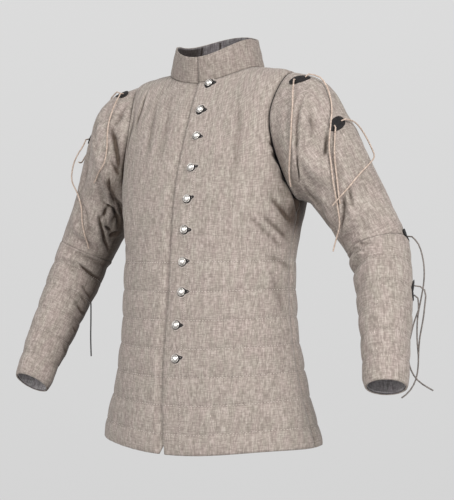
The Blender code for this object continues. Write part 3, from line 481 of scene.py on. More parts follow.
PATCH_LENGTH, PATCH_WIDTH, PATCH_WALL = 0.046, 0.025, 0.0018
PATCH_EYELET = 0.011  # from the patch's middle to each eyelet
# Each patch's middle, in degrees round the sleeve and metres along it, and its slant as for a fold.
PATCHES = dict(
    left_shoulder=(24.0, 0.024, -46.0),
    left_arm=(30.0, 0.105, 88.0),
    left_elbow=(-18.0, 0.306, 86.0),
    left_forearm=(-18.0, 0.412, 8.0),
    right_shoulder=(20.0, 0.022, -44.0),
    right_arm=(24.0, 0.102, 96.0),
    right_elbow=(-18.0, 0.306, 86.0),
    right_forearm=(-18.0, 0.412, 8.0),
)
PATCH_SEAT = 0.0006  # between a patch and the cloth under it

LACE = 0.0030  # diameter
LACE_RISE = 0.0040  # how far it stands straight out of its eyelet
LACE_STEP = 0.0150  # between two points of its route
THONG_STEP = 0.011  # and about this between two points of the finished thong
THONG_POINTS = (15, 39)  # fewest and most on one
READ_STEPS = 8  # points for each row of a route
READ_STEP = 0.002  # between two points of a route that is read again
# Routes of the laces, in mm. Each leaves an eyelet, at the patch's near (-1) or far (1) end, lies "on"
# the sleeve at rows of (along, degrees around, height of its middle), and then hangs free through (x, y, z).
# A right one is given as a left one.
LACES = dict(
    left_shoulder_lace_1=dict(
        eyelet=-1,
        on=((30, 50, 6), (36, 64, 4), (41, 78, 4), (46, 93, 4), (48, 108, 4), (46, 125, 5), (42, 140, 5)),
    ),
    left_shoulder_lace_2=dict(
        eyelet=1,
        on=(
            (42, 12, 9), (57, 13, 6), (83, 27, 6), (101, 44, 8.5), (116, 55, 6), (131, 63, 5), (165, 77, 4.5),
            (191, 85, 4), (222, 95, 4), (245, 104, 5),
        ),
        free=((290, -61, -355), (286, -63, -373)),
    ),
    left_arm_lace_1=dict(
        eyelet=1,
        on=((116, 45, 5.5), (132, 55, 4), (155, 66, 4), (175, 73.5, 4), (195, 80.5, 4), (217, 88, 4)),
    ),
    left_arm_lace_2=dict(
        eyelet=-1,
        on=(
            (114, -8, 8), (132, -20, 10), (150, -22, 10), (162, -12, 8), (172, 6, 5), (189, 44, 4),
            (198, 62, 7), (205, 78, 9.8), (212, 98, 9.8),
        ),
    ),
    left_elbow_lace=dict(
        eyelet=-1,
        on=(),
        free=(
            (421, 28, -353), (432, 34, -390), (433, 35, -428), (428, 32, -464), (422, 29, -500),
            (421, 28, -539), (423, 29, -588), (418, 26, -622), (408, 20, -642), (395, 12, -655),
        ),
    ),
    left_forearm_lace_1=dict(
        eyelet=1,
        on=(),
        free=(
            (440, -11, -484), (434, -15, -503), (428, -18, -528), (423, -20, -557), (426, -20, -594),
            (438, -14, -617), (452, -6, -629), (464, 1, -637),
        ),
    ),
    left_forearm_lace_2=dict(
        eyelet=-1,
        on=(),
        free=((446, 4, -446), (447, 3, -475), (444, 1, -504), (439, -4, -540), (437, -6, -581)),
    ),
    right_shoulder_lace_1=dict(
        eyelet=-1,
        on=(
            (22, 46, 6), (26, 62, 4), (27, 78, 4), (28, 92, 4), (38, 106, 4), (60, 109, 4), (92, 105, 4),
            (118, 102, 4),
        ),
    ),
    right_shoulder_lace_2=dict(
        eyelet=1,
        on=((48, 8, 6), (70, -6, 4), (100, -14, 4), (140, -12, 4), (178, -4, 4)),
    ),
    right_arm_lace_1=dict(
        eyelet=1,
        on=(
            (108, 44, 10), (125, 44, 17), (142, 46, 21), (165, 48, 19), (174, 52, 14), (184, 64, 6),
            (201, 84, 4), (233, 96, 4), (271, 116, 4), (296, 130, 4),
        ),
    ),
    right_arm_lace_2=dict(
        eyelet=-1,
        on=((122, 6, 8), (134, 18, 6), (140, 32, 5), (136, 44, 11)),
    ),
    right_elbow_lace=dict(
        eyelet=-1,
        on=(),
        free=(
            (403, 40, -360), (394, 48, -392), (382, 50, -430), (374, 47, -470), (371, 44, -510),
            (370, 42, -555), (367, 40, -598),
        ),
    ),
    right_forearm_lace_1=dict(
        eyelet=1,
        on=(),
        free=((434, -10, -484), (430, -12, -510), (425, -14, -540), (424, -16, -575), (430, -12, -606)),
    ),
    right_forearm_lace_2=dict(
        eyelet=-1,
        on=(),
        free=((443, 6, -446), (444, 5, -478), (440, 4, -512), (438, 0, -552)),
    ),
)


# The laces at the elbows and forearms get darker copies of the lace leather: painted shade.
LACE_SHADES = dict(
    left_elbow_lace="grey",
    left_forearm_lace_1="grey",
    left_forearm_lace_2="grey",
    right_elbow_lace="dark",
    right_forearm_lace_1="dark",
    right_forearm_lace_2="grey",
)


def patch_spot(side, name, forward, sideways):
    """(around, along) of points forward and sideways from a patch's middle, in metres over the cloth."""
    around, along, tilt = PATCHES[f"{side}_{name}"]
    turn, by, step = math.radians(tilt), 3.0, 0.01
    beside = sleeve_base(side, [around - by, around + by], along)
    below = sleeve_base(side, around, [along - step, along + step])
    per_degree = np.linalg.norm(beside[1] - beside[0]) / (2 * by)
    per_metre = np.linalg.norm(below[1] - below[0]) / (2 * step)
    run = np.asarray(forward) * math.cos(turn) - np.asarray(sideways) * math.sin(turn)
    off = np.asarray(forward) * math.sin(turn) + np.asarray(sideways) * math.cos(turn)
    return around + off / per_degree, along + run / per_metre


def patch_point(side, name, forward, sideways, lift):
    return sleeve_surface(side, *patch_spot(side, name, forward, sideways), lift)


def lace_points(name):
    """Points down the middle of a lace, given as on the left side. The first two stand it off its patch."""
    side, patch = name.split("_")[:2]
    route = LACES[name]
    around, along = patch_spot(side, patch, [route["eyelet"] * PATCH_EYELET], [0.0])
    low = PATCH_SEAT + PATCH_WALL + 2 * SEAM
    foot = sleeve_surface(side, around, along, low)
    lying = np.reshape(route["on"], (-1, 3)) / (1000, 1, 1000)
    rows = np.concatenate([[(along[0], around[0], low + LACE_RISE)], lying])
    fine = np.linspace(0, len(rows) - 1, READ_STEPS * (len(rows) - 1) + 1)
    if len(rows) > 1:
        along, around, height = (smooth(np.arange(len(rows)), rows[:, k], fine) for k in range(3))
    else:
        along, around, height = rows.T
    points = sleeve_surface(side, around, along, height)
    if "free" in route:
        points = np.concatenate([points, np.array(route["free"]) / 1000])
    metres = gone(points)
    fine = np.linspace(0, metres[-1], round(metres[-1] / READ_STEP))
    line = np.stack([smooth(metres, points[:, k], fine) for k in range(3)], -1)
    even = np.linspace(0, gone(line)[-1], round(gone(line)[-1] / LACE_STEP) + 1)
    return np.concatenate([foot, along_line(line, even)])


# ---- relief and painted shade: what wadding and seams do to the cloth, and shade painted into its colour ----

RIM_BULGE = 0.0008  # how far a finished edge is rounded out
NECK_END = 4  # rows from the neck seam to where a front's edge starts to be
SEAM_ROLL = 0.0022  # how far the cloth rolls down into a seam
ROLL_REACH = 0.0024
SEAM_SHADE_REACH = 0.0016  # how wide a seam's painted shade is
QUILT_SHADE = 0.14  # a quilting seam's painted shade, beside that of an armhole's
FLAT_SEAM = 0.20  # how far the seams at shoulder and neck roll in and are painted darker, and an elbow's rolls in
SIDE_ROLL = 0.10  # the same for a side seam
# painted shade along a side seam below the underarm, and along an elbow's seam
SIDE_SHADE = 0.08
ELBOW_SHADE = 0.10
ARMHOLE_TOP_SHADE = 0.25  # an armhole's painted shade at its top, as a share of that further down
ARMHOLE_FULL = 0.10  # which starts this far down the body and is full as far again below
FRONT_CREASE = 0.003  # a crease of this depth on the body has all the shade
HOLLOW = 1.35  # the shade on the body under the arm, how far it reaches and how low its middle is
HOLLOW_REACH = 0.044
HOLLOW_DROP = 0.022
# the collar's cloth is painted this much darker all over, on the measure of the painted shade
COLLAR_DARKENING = 0.21

# Shade on a sleeve, in the same measure.
CREASE_SHADE = dict(left=0.80, right=1.25)
CREASE_DEPTH = 0.0055  # a crease of this depth has all of it
CREASE_CURVE = 1.5  # and shallower ones have less than their share
LARGE_FOLD = 0.6  # the share of a large fold's depth that is no crease
INSIDE_SHADE = dict(left=0.42, right=0.88)  # down the arm's inner side
INSIDE_START, INSIDE_WIDTH = 0.078, 0.048  # round the sleeve: where it starts and how soon it is full
INSIDE_TOP = 0.08  # down the sleeve: how soon it is full
LEFT_END, LEFT_FADE = 0.48, 0.20  # where it has faded out on the left, and over what length
RIGHT_FOOT, RIGHT_FADE, RIGHT_PALER = 0.5, 0.1, 0.35  # on the right it only gets this much paler
RIGHT_PLAIN, RIGHT_EDGE = 0.7, 1.1  # and there it is a mix of the even shade and one along the arm's edge
EDGE_LINE = ((0.0, 0.128), (0.10, 0.142), (0.44, 0.148), (0.615, 0.120))  # (down, round) of that edge
EDGE_REACH = 0.019
ARMPIT_SHADE = 0.8  # underneath, by the armhole
ARMPIT_REACH = 0.018
UNDER_NONE, UNDER_FADE = 160.0, 100.0  # degrees from straight underneath: where it is gone, and over how many

CHEST_RELIEF = 0.35  # the chest is quilted flatter than the solid allows for
CHEST_PITCH = 0.048  # between two of its quilting seams, which run down it
CHEST_FADE = 0.03  # the swell between them fades out over this, at the neck and at the waist
EDGE_FLAT = 0.016  # the wadding thins out over this towards the front edge
SIDE_FLAT = 4.0  # and over this towards the side seam, in degrees
NECK_FLAT = 0.02
PUCKER = 0.0004  # small gathers beside a quilting seam
PUCKER_SIZE = 0.016
PUCKER_REACH = 0.006
LUMPS = 0.0006  # unevenness of the wadding
OVERLAP_SHADE = 0.12  # of the right front, close to the left one's edge
OVERLAP_REACH = 0.009
SINK_START = 0.002  # the right front is plain where it lies this much lower
PLACKET = 0.040  # from the front edge to the line that holds its facing
PLACKET_STITCH = 0.0040, 0.0026  # its pitch and length

SLEEVE_CUT = 240.0  # where a sleeve's cloth starts, in degrees round it

# Creases, in mm on each piece's own cloth: (width, height, then the points of its line as (u, v)).
# On the body u runs round from the centre front or the centre back, and on a sleeve from its front; v runs
# down from the neck or the armhole. A negative height is a trough.
CREASES = dict(
    left_front=(
        (6, -2.2, (184, 262), (210, 288), (235, 312)),
        (6, -2, (168, 298), (205, 330), (238, 354)),
        (6, -1.6, (143, 300), (174, 328), (226, 374)),
        (7, -1.4, (181, 383), (222, 397), (250, 410)),
        (3.6, -4.6, (183, 181), (197, 190)),
        (4.2, -5.2, (189, 195), (206, 214)),
        (5, -4.4, (210, 231), (237, 258)),
        (5, -4.8, (236, 256), (252, 272), (266, 300)),
        (8, 3, (215, 235), (232, 262), (240, 290)),
        (10, -1, (115, 70), (119, 160), (116, 236)),
        (8, -1.2, (195, 420), (230, 500)),
    ),
    right_front=(
        (4, -3, (212, 85), (208, 105), (200, 128)),
        (4, -2.6, (156, 56), (147, 80), (148, 106), (152, 135)),
        (7, 2.4, (185, 85), (182, 130), (190, 170)),
        (6, -1.6, (180, 95), (172, 140), (178, 190)),
        (8, -1.2, (102, 50), (94, 103), (95, 180)),
        (9, -1, (60, 30), (52, 100), (58, 190)),
        (7, -1.8, (215, 285), (170, 330)),
        (8, -1.4, (220, 340), (150, 372)),
    ),
    left_back=(
        (8, -2, (215, 180), (190, 225), (150, 262)),
        (7, -1.8, (222, 250), (180, 295), (130, 322)),
        (12, -1.2, (120, 80), (128, 150), (122, 230)),
        (8, -1.6, (200, 330), (130, 356), (60, 364)),
        (9, -1.2, (70, 330), (0, 345)),
    ),
    right_back=(
        (8, -2.2, (218, 190), (180, 240), (140, 268)),
        (7, -1.6, (225, 262), (170, 312), (120, 330)),
        (11, -1.2, (108, 85), (120, 160), (118, 215)),
        (8, -1.4, (190, 345), (110, 362)),
    ),
    left_sleeve=(
        (4.5, -4.2, (-22, 43), (6, 43), (33, 49), (69, 62), (95, 80)),
        (6, 2.6, (0, 56), (30, 62), (62, 78)),
        (4, -2, (-6, 24), (39, 30), (70, 38)),
        (3.6, -6, (66, 68), (83, 78), (90, 88), (104, 96)),
        (3.6, -3, (44, 61), (64, 62)),
        (3.6, -5, (-18, 105), (4, 121), (20, 130)),
        (3.6, -5.6, (3, 193), (11, 219), (19, 243)),
        (3.8, -5.6, (21, 201), (28, 223), (44, 244), (67, 266)),
        (5, 3, (14, 205), (20, 235), (34, 268)),
        (6, -2.6, (8, 250), (16, 281), (22, 302)),
        (5, -2.2, (-17, 260), (-10, 300)),
        (3.6, -3.2, (70, 310), (44, 308), (36, 326)),
        (3.6, -2.8, (36, 325), (16, 322)),
        (3.8, -3.6, (72, 334), (46, 334), (32, 348)),
        (6, -2.6, (-10, 65), (10, 83), (32, 102)),
        (8, 3, (84, 117), (76, 170), (62, 205)),
        (5, -3, (99, 112), (98, 145), (94, 182)),
        (6, -2, (4, 155), (4, 185)),
        (7, -1.8, (-40, 145), (-41, 190)),
        (5, -3, (100, 210), (80, 250), (90, 285)),
        (10, -2.4, (-150, 60), (-110, 120), (-100, 200)),
        (8, -2.6, (-130, 270), (-100, 300), (-60, 298)),
        (8, -2.2, (-140, 330), (-100, 345)),
    ),
    right_sleeve=(
        (4.2, -6.6, (12, 26), (39, 18), (61, 14), (80, 11), (106, 10)),
        (3.6, -5, (76, 26), (95, 18), (110, 11)),
        (3.6, -3.4, (-28, 12), (-4, 13), (22, 22)),
        (4.2, -6.2, (106, 30), (126, 45), (122, 80), (112, 136)),
        (4, -6.2, (82, 166), (101, 161), (117, 179), (125, 213)),
        (3.6, -4.6, (107, 146), (112, 180), (109, 205)),
        (4.2, -6.2, (70, 196), (87, 232), (101, 260), (120, 284)),
        (3.6, -4.2, (90, 220), (112, 231)),
        (3.6, -4, (134, 110), (124, 160)),
        (3.6, -3.8, (83, 192), (98, 156)),
        (3.6, -3.2, (76, 210), (91, 184)),
        (4.2, -5.4, (108, 248), (132, 222)),
        (5, 3.4, (92, 60), (104, 100), (97, 142)),
        (5, 3, (94, 172), (101, 216)),
        (5, 3, (78, 232), (94, 276)),
        (5, -2.8, (22, 189), (47, 216), (70, 272)),
        (6, -1.8, (-26, 62), (20, 54), (70, 49)),
        (3.4, -4.2, (56, 341), (82, 352), (109, 358), (132, 358)),
        (5, 2.6, (66, 360), (108, 371)),
        (3.2, -2.6, (82, 386), (108, 399), (132, 404)),
        (3, -1.8, (98, 410), (122, 420)),
        (3.4, -3, (92, 430), (114, 440), (142, 443)),
        (3.2, -2.4, (102, 474), (130, 487)),
        (3, -1.8, (96, 520), (124, 534)),
        (6, -2, (10, 110), (20, 160)),
        (10, -2.4, (-150, 70), (-115, 130), (-105, 205)),
        (8, -2.8, (-135, 265), (-100, 298), (-55, 302)),
        (8, -2.2, (-130, 335), (-95, 350)),
    ),
)


CREASE_TIP = 0.25  # a crease's height at its ends, as a share
CREASE_TAPER = 0.3  # the share of its length that each end takes to get there
LIP = 0.3  # the cloth stands up beside a trough, by this share of its depth
LIP_AT = 2.1  # from the crease's line, in widths of the crease
LIP_WIDTH = 1.2


def crease_height(name, u, v):
    """The height of a piece's creases at cloth coordinates (u, v)."""
    height = np.zeros(np.shape(u))
    for width, high, *line in CREASES[name]:
        width, high, line = width / 1000, high / 1000, np.array(line) / 1000
        off, run, metres = np.full(height.shape, np.inf), np.zeros(height.shape), 0.0
        for (u0, v0), (u1, v1) in zip(line, line[1:]):
            length = math.hypot(u1 - u0, v1 - v0)
            share = np.clip(((u - u0) * (u1 - u0) + (v - v0) * (v1 - v0)) / length**2, 0, 1)
            away = np.hypot(u - u0 - share * (u1 - u0), v - v0 - share * (v1 - v0))
            run = np.where(away < off, metres + share * length, run)
            off = np.minimum(off, away)
            metres += length
        taper = CREASE_TIP + (1 - CREASE_TIP) * ease(np.minimum(run, metres - run) / (CREASE_TAPER * metres))
        beside = np.exp(-(((off / width - LIP_AT) / LIP_WIDTH) ** 2))
        height += high * taper * (np.exp(-((off / width) ** 2)) - LIP * beside)
    return height


def lumps(point, size, seed):
    """Soft unevenness about 1 high, of lumps about this size, the same on each run."""
    chance, waves = np.random.default_rng(seed), 12
    wave = unit(chance.normal(size=(waves, 3))) * (2 * math.pi / size) * chance.uniform(0.6, 1.3, (waves, 1))
    phase = chance.uniform(0, 2 * math.pi, waves)
    return np.sin(point @ wave.T + phase).sum(-1) / math.sqrt(waves / 2)


ARC_TURNS = np.linspace(0, 180, 181)
ARC_LEVELS = np.linspace(0, HEM, 156)
ARC_STEPS = np.linalg.norm(np.diff(torso_point(ARC_TURNS[None], ARC_LEVELS[:, None]), axis=1), axis=-1)
ARC = np.concatenate([np.zeros((len(ARC_LEVELS), 1)), np.cumsum(ARC_STEPS, axis=1)], axis=1)


def arc_of(theta, down):
    """Metres round the body from the centre front, signed as theta is."""
    turn = np.clip(np.abs(theta), 0, 179.999)
    level = np.clip(np.asarray(down) / HEM, 0, 0.99999) * (len(ARC_LEVELS) - 1)
    i, j = turn.astype(int), level.astype(int)
    p, q = turn - i, level - j
    low = ARC[j, i] * (1 - p) + ARC[j, i + 1] * p
    high = ARC[j + 1, i] * (1 - p) + ARC[j + 1, i + 1] * p
    return np.sign(theta) * (low * (1 - q) + high * q)


def cloth_place(theta, down, back):
    """(u, v) on the body's cloth in metres, u from the centre front or, at the back, the centre back."""
    u = arc_of(theta, down)
    return (arc_of(np.full(np.shape(theta), 180.0), down) - u if back else u), down


def puckers(point, beside, seed):
    """Small gathers of the cloth, beside metres from a quilting seam."""
    return PUCKER * lumps(point * (1, 1, 0.4), PUCKER_SIZE, seed) * np.exp(-((beside / PUCKER_REACH) ** 2))


def torso_relief(panel, theta, down):
    """Height of a body panel's finished cloth above its skin, given as on the left side."""
    theta, down = np.broadcast_arrays(np.asarray(theta, float), np.asarray(down, float))
    back = panel.endswith("back")
    point = torso_point(theta, down)
    u, v = cloth_place(theta, down, back)
    chest = CHEST_RELIEF * PUFF_CHEST * puff_profile((u / CHEST_PITCH) % 1.0) * ease(down / CHEST_FADE)
    channel = np.interp(down, SKIRT_SEAMS, np.arange(SKIRT_CHANNELS + 1))
    skirt = PUFF_SKIRT * puff_profile(channel % 1.0)
    pucker = puckers(point, np.abs(channel - np.round(channel)) * SKIRT_PITCH, 5)
    middle = 1.0 if back else ease((point[..., 0] - left_edge(down)) / EDGE_FLAT)
    side = ease((np.abs(theta) - 90 if back else 90 - np.abs(theta)) / SIDE_FLAT)
    chest = chest * ease((WAIST_SEAM - down) / CHEST_FADE)
    quilt = np.where(down < WAIST_SEAM - 0.002, chest, skirt + pucker)
    rough = LUMPS * lumps(point, 0.085, 11) + 0.4 * LUMPS * lumps(point, 0.032, 12)
    return quilt * middle * side + rough * middle * ease(down / NECK_FLAT) * side + crease_height(panel, u, v)


def sleeve_place(around, along):
    """(u, v) on a sleeve's cloth in metres. It is cut open underneath, at the back."""
    radius = np.interp(along, SLEEVE["along"], (SLEEVE["across"] + SLEEVE["fore"]) / 2)
    return np.radians((around - SLEEVE_CUT) % 360 - 180) * radius, np.asarray(along, float)


def sleeve_folds(side, around, along):
    """The height of a sleeve's folds, large and small, above its skin."""
    fine = crease_height(f"{side}_sleeve", *sleeve_place(around, along))
    return fold_height(around, along) + fine * ease(along / 0.007) * ease(np.abs(along - ELBOW) / 0.004)


def sleeve_relief(side, around, along):
    """Height of a sleeve's finished cloth above its skin, but for the swell between its seams."""
    around, along = (np.ravel(a) for a in np.broadcast_arrays(np.asarray(around, float), along))
    point = sleeve_base(side, around, along)
    near_end, near_elbow = 0.02, 0.010
    ends = ease(along / near_end) * ease((CUFF - along) / near_end) * ease(np.abs(along - ELBOW) / near_elbow)
    rough = LUMPS * lumps(point, 0.070, 21) + 0.5 * LUMPS * lumps(point, 0.028, 22)
    channel = (along - ELBOW) / (CUFF - ELBOW) * LOWER_CHANNELS
    beside = np.abs(channel - np.round(channel)) * (CUFF - ELBOW) / LOWER_CHANNELS
    return sleeve_folds(side, around, along) + (rough + puckers(point, beside, 25) * (along > ELBOW)) * ends


# ---- materials ----


def new_material(name):
    made = bpy.data.materials.new(name)
    made.use_nodes = True
    return made, made.node_tree, made.node_tree.nodes["Principled BSDF"]


def set_inputs(shader, values):
    for name, value in values.items():
        shader.inputs[name].default_value = value


def node(tree, kind, inputs=(), **settings):
    """A new shader node. inputs pairs each socket with a value or another node's output."""
    made = tree.nodes.new(kind)
    for key, value in settings.items():
        setattr(made, key, value)
    for socket, value in inputs:
        if isinstance(value, bpy.types.NodeSocket):
            tree.links.new(value, made.inputs[socket])
        else:
            made.inputs[socket].default_value = value
    return made


def grain(tree, place, scale, detail=2.0, roughness=0.55):
    """Noise stretched by scale, as a socket."""
    stretched = node(tree, "ShaderNodeMapping", [("Vector", place), ("Scale", scale)]).outputs[0]
    inputs = [("Vector", stretched), ("Scale", 1.0), ("Detail", detail), ("Roughness", roughness)]
    return node(tree, "ShaderNodeTexNoise", inputs).outputs["Fac"]


def weighed(tree, *pairs):
    """The sum of sockets, each times its weight."""
    total = None
    for socket, weight in pairs:
        inputs, kind = [(0, socket), (1, weight)], "MULTIPLY"
        if total is not None:
            inputs, kind = [*inputs, (2, total)], "MULTIPLY_ADD"
        total = node(tree, "ShaderNodeMath", inputs, operation=kind).outputs[0]
    return total


def ramp(tree, factor, *stops):
    made = node(tree, "ShaderNodeValToRGB", [("Fac", factor)])
    points = made.color_ramp.elements
    while len(points) < len(stops):
        points.new(0.5)
    for point, (place, colour) in zip(points, stops):
        point.position = place
        point.color = (*colour, 1)
    return made.outputs["Color"]


def blend(tree, factor, first, second, kind="MIX"):
    full = lambda colour: (*colour, 1) if isinstance(colour, tuple) else colour
    inputs = [("Factor", factor), (6, full(first)), (7, full(second))]
    return node(tree, "ShaderNodeMix", inputs, data_type="RGBA", blend_type=kind).outputs[2]


def add_bump(tree, shader, height, strength, distance):
    bump = node(tree, "ShaderNodeBump", [("Height", height), ("Strength", strength), ("Distance", distance)])
    tree.links.new(bump.outputs[0], shader.inputs["Normal"])


def linen(name, dark, middle, pale, sheen=0.1):
    """Handwoven linen: streaks of thick and thin thread down the cloth, fainter ones across it and pale
    slubs, with shade painted into its colour in its creases, seams and hollows. It reads the cloth's own
    metres."""
    made, tree, shader = new_material(name)
    # the colour that full painted shade multiplies the cloth's by
    fully_shaded = (0.22, 0.185, 0.16)
    cloth = node(tree, "ShaderNodeAttribute", attribute_name="weave").outputs["Vector"]
    painted_shade_and_mottle = node(tree, "ShaderNodeAttribute", attribute_name="painted_shade_and_mottle").outputs["Fac"]
    solid = node(tree, "ShaderNodeTexCoord").outputs["Object"]
    warp = grain(tree, cloth, (430, 85, 430))
    slub = grain(tree, cloth, (190, 34, 190))
    band = grain(tree, cloth, (80, 9, 80))
    weft = grain(tree, cloth, (85, 420, 85))
    cloud = grain(tree, solid, (9, 9, 9))
    tint = grain(tree, cloth, (70, 24, 70))
    streaks = weighed(tree, (warp, 0.36), (slub, 0.24), (band, 0.09), (weft, 0.31))
    colour = ramp(tree, streaks, (0.40, dark), (0.5, middle), (0.60, pale))
    colour = blend(tree, cloud, blend(tree, 1.0, colour, (0.95, 1.0, 0.97), "MULTIPLY"), colour)
    tint = ramp(tree, tint, (0.35, (0.985, 1.008, 0.985)), (0.65, (1.015, 0.992, 1.0)))
    colour = blend(tree, 1.0, colour, tint, "MULTIPLY")
    fleck = grain(tree, cloth, (330, 75, 330), 1.0)
    fleck = ramp(tree, fleck, (0.73, (0, 0, 0)), (0.80, (1, 1, 1)))
    colour = blend(tree, fleck, colour, tuple(min(1.0, 1.35 * c) for c in pale))
    # painted shade: the cloth is darker where the mesh's attribute of it is high
    shade = ramp(tree, painted_shade_and_mottle, (0.0, (1, 1, 1)), (1.0, fully_shaded))
    colour = blend(tree, 1.0, colour, shade, "MULTIPLY")
    tree.links.new(colour, shader.inputs["Base Color"])
    add_bump(tree, shader, weighed(tree, (warp, 1.6), (weft, 1.0)), 0.45, 0.0006)
    set_inputs(shader, {"Roughness": 0.93, "Specular IOR Level": 0.18})
    set_inputs(shader, {"Sheen Weight": sheen, "Sheen Roughness": 0.5})
    return made


def speckled(name, dark, pale, size, roughness, bump, metallic=0.0):
    """A solid material that varies in lumps of this size, in colour and relief."""
    made, tree, shader = new_material(name)
    solid = node(tree, "ShaderNodeTexCoord").outputs["Object"]
    fine = grain(tree, solid, (1 / size,) * 3, 4.0, 0.6)
    tree.links.new(ramp(tree, fine, (0.35, dark), (0.65, pale)), shader.inputs["Base Color"])
    add_bump(tree, shader, fine, 0.5, bump)
    set_inputs(shader, {"Roughness": roughness, "Metallic": metallic})
    return made


def leather(name):
    """Black leather with a pebbled grain, a little polished."""
    made, tree, shader = new_material(name)
    solid = node(tree, "ShaderNodeTexCoord").outputs["Object"]
    pebble = node(tree, "ShaderNodeTexVoronoi", [("Vector", solid), ("Scale", 900.0)]).outputs["Distance"]
    # random mottling of the leather's own tone, with no shade painted on it
    painted_shade_and_mottle = grain(tree, solid, (160, 160, 160), 3.0)
    colour = ramp(tree, painted_shade_and_mottle, (0.35, (0.004, 0.0035, 0.004)), (0.7, (0.014, 0.012, 0.012)))
    tree.links.new(colour, shader.inputs["Base Color"])
    add_bump(tree, shader, weighed(tree, (pebble, 1.0), (painted_shade_and_mottle, 0.6)), 0.4, 0.0005)
    set_inputs(shader, {"Roughness": 0.6, "Specular IOR Level": 0.2})
    return made


# ---- meshes ----


def add_object(name, data):
    made = bpy.data.objects.new(name, data)
    bpy.context.scene.collection.objects.link(made)
    return made


def add_piece(name, points, faces, which, finishes, cloth=None):
    """One mesh object, riding the body. which [face] is its finish. Of cloth it also has its uvs and weave
    [face, corner], and painted shade [point], which is how much darker its creases, seams and hollows are
    painted."""
    mesh = bpy.data.meshes.new(name)
    mesh.from_pydata(np.asarray(points).tolist(), [], faces if isinstance(faces, list) else faces.tolist())
    if cloth is not None:
        uvs, weave, painted_shade_and_mottle = (np.float32(values).ravel() for values in cloth)
        mesh.uv_layers.new(name="UVMap").data.foreach_set("uv", uvs)
        mesh.attributes.new("weave", "FLOAT_VECTOR", "CORNER").data.foreach_set("vector", weave)
        mesh.attributes.new("painted_shade_and_mottle", "FLOAT", "POINT").data.foreach_set("value", painted_shade_and_mottle)
    mesh.polygons.foreach_set("material_index", np.asarray(which, np.int32))
    form = bmesh.new()
    form.from_mesh(mesh)
    bmesh.ops.recalc_face_normals(form, faces=form.faces)
    form.to_mesh(mesh)
    form.free()
    mesh.shade_smooth()
    for finish in finishes:
        mesh.materials.append(finish)
    made = add_object(name, mesh)
    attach(made, "root")
    return made


def corners(grid):
    """[cell, corner] of a grid's values."""
    four = grid[:-1, :-1], grid[:-1, 1:], grid[1:, 1:], grid[1:, :-1]
    return np.stack(four, 2).reshape(-1, 4, *grid.shape[2:])


def ring_faces(rings, sides):
    """Faces of a wall of closed rings, one row of points after another."""
    number = np.arange(rings * sides).reshape(rings, sides)
    return corners(closed_ring(number.T).T)


def capped_faces(rings, sides):
    """The same as a list, with the first and the last ring filled."""
    first, last = range(sides), range((rings - 1) * sides, rings * sides)
    return ring_faces(rings, sides).tolist() + [list(first), list(last)]


def closed_ring(ring):
    return np.concatenate([ring, ring[:1]])


def border(grid, step=0):
    """A grid's outermost values in order round it, or those a step further in."""
    top, right, bottom, left = grid[step], grid[1:, -1 - step], grid[-1 - step, -2::-1], grid[-2:0:-1, step]
    return closed_ring(np.concatenate([top, right, bottom, left]))


def cloth_piece(name, outer, inner, uv, bulge, painted_shade_and_mottle, finishes, closed=False, frame=None):
    """A cloth wall from its two skins [row, column]. bulge is how far each edge point is rounded out. A
    closed wall's uv has one more column, which lies on its first. The threads follow the uv or, where one
    is given, a frame's axes."""
    rows, columns = outer.shape[:2]
    number = np.arange(rows * columns).reshape(rows, columns)
    if closed:
        number = np.concatenate([number, number[:, :1]], axis=1)
        rings = [(number[0], number[1], uv[0]), (number[-1], number[-2], uv[-1])]
    else:
        rings = [(border(number), border(number, 1), border(uv))]
    points = [outer.reshape(-1, 3), inner.reshape(-1, 3)]
    painted_shades = [np.ravel(painted_shade_and_mottle), np.zeros(inner[..., 0].size)]
    faces, places = [corners(number), corners(number) + rows * columns], [corners(uv)] * 2
    which = [np.zeros(len(faces[0])), np.ones(len(faces[1]))]
    start = 2 * rows * columns
    for ring, inward, place in rings:
        edge, under = points[0][ring[:-1]], points[1][ring[:-1]]
        away = unit(edge - points[0][inward[:-1]]) * bulge.ravel()[ring[:-1], None]
        points.append((edge + under) / 2 + away)
        painted_shades.append(painted_shades[0][ring[:-1]])
        middle = np.append(start + np.arange(len(ring) - 1), start)
        start += len(ring) - 1
        for side in (np.stack([ring, middle]), np.stack([middle, ring + rows * columns])):
            faces.append(corners(side))
            places.append(corners(np.stack([place, place])))
            which.append(np.zeros(len(ring) - 1))
    points, faces, places, which, painted_shades = map(np.concatenate, (points, faces, places, which, painted_shades))
    weave = np.concatenate([places, 0 * places[..., :1]], -1) if frame is None else points[faces] @ frame
    made = add_piece(f"{name}_cloth", points, faces, which, finishes, (places, weave, painted_shades))
    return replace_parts(made, name)


def gone(line):
    """Metres from a line's start to each of its points."""
    return np.concatenate([[0], np.cumsum(np.linalg.norm(np.diff(line, axis=0), axis=1))])


def along_line(line, at):
    """Values of a line's points at metres along it. line may be (points, other values of them)."""
    line, *others = line if isinstance(line, tuple) else (line,)
    metres = gone(line)
    read = lambda values: np.stack([np.interp(at, metres, values[:, k]) for k in range(3)], -1)
    return [read(values) for values in (line, *others)] if others else read(line)


STITCH_RISE = 0.0004  # half a stitch's thickness
STITCH_LIFT = 0.0001  # its middle above the cloth
UNEVEN = (0.6, 1.1)  # how the stitches' lengths vary, as shares of the given one


def add_stitches(name, spots, finish, width=0.0015):
    """Stitches as small spindles. spots holds rows of (middle, half length as a vector, normal)."""
    middle, half, normal = map(np.concatenate, zip(*spots))
    aside, rise = unit(np.cross(normal, half)) * width / 2, normal * STITCH_RISE
    points = np.stack([middle + way for way in (-half, half, -aside, aside, rise, -rise)], 1).reshape(-1, 3)
    one = np.array([(0, 2, 4), (2, 1, 4), (1, 3, 4), (3, 0, 4), (2, 0, 5), (1, 2, 5), (3, 1, 5), (0, 3, 5)])
    faces = (one[None] + 6 * np.arange(len(middle))[:, None, None]).reshape(-1, 3)
    return add_piece(name, points, faces, np.zeros(len(faces)), [finish])


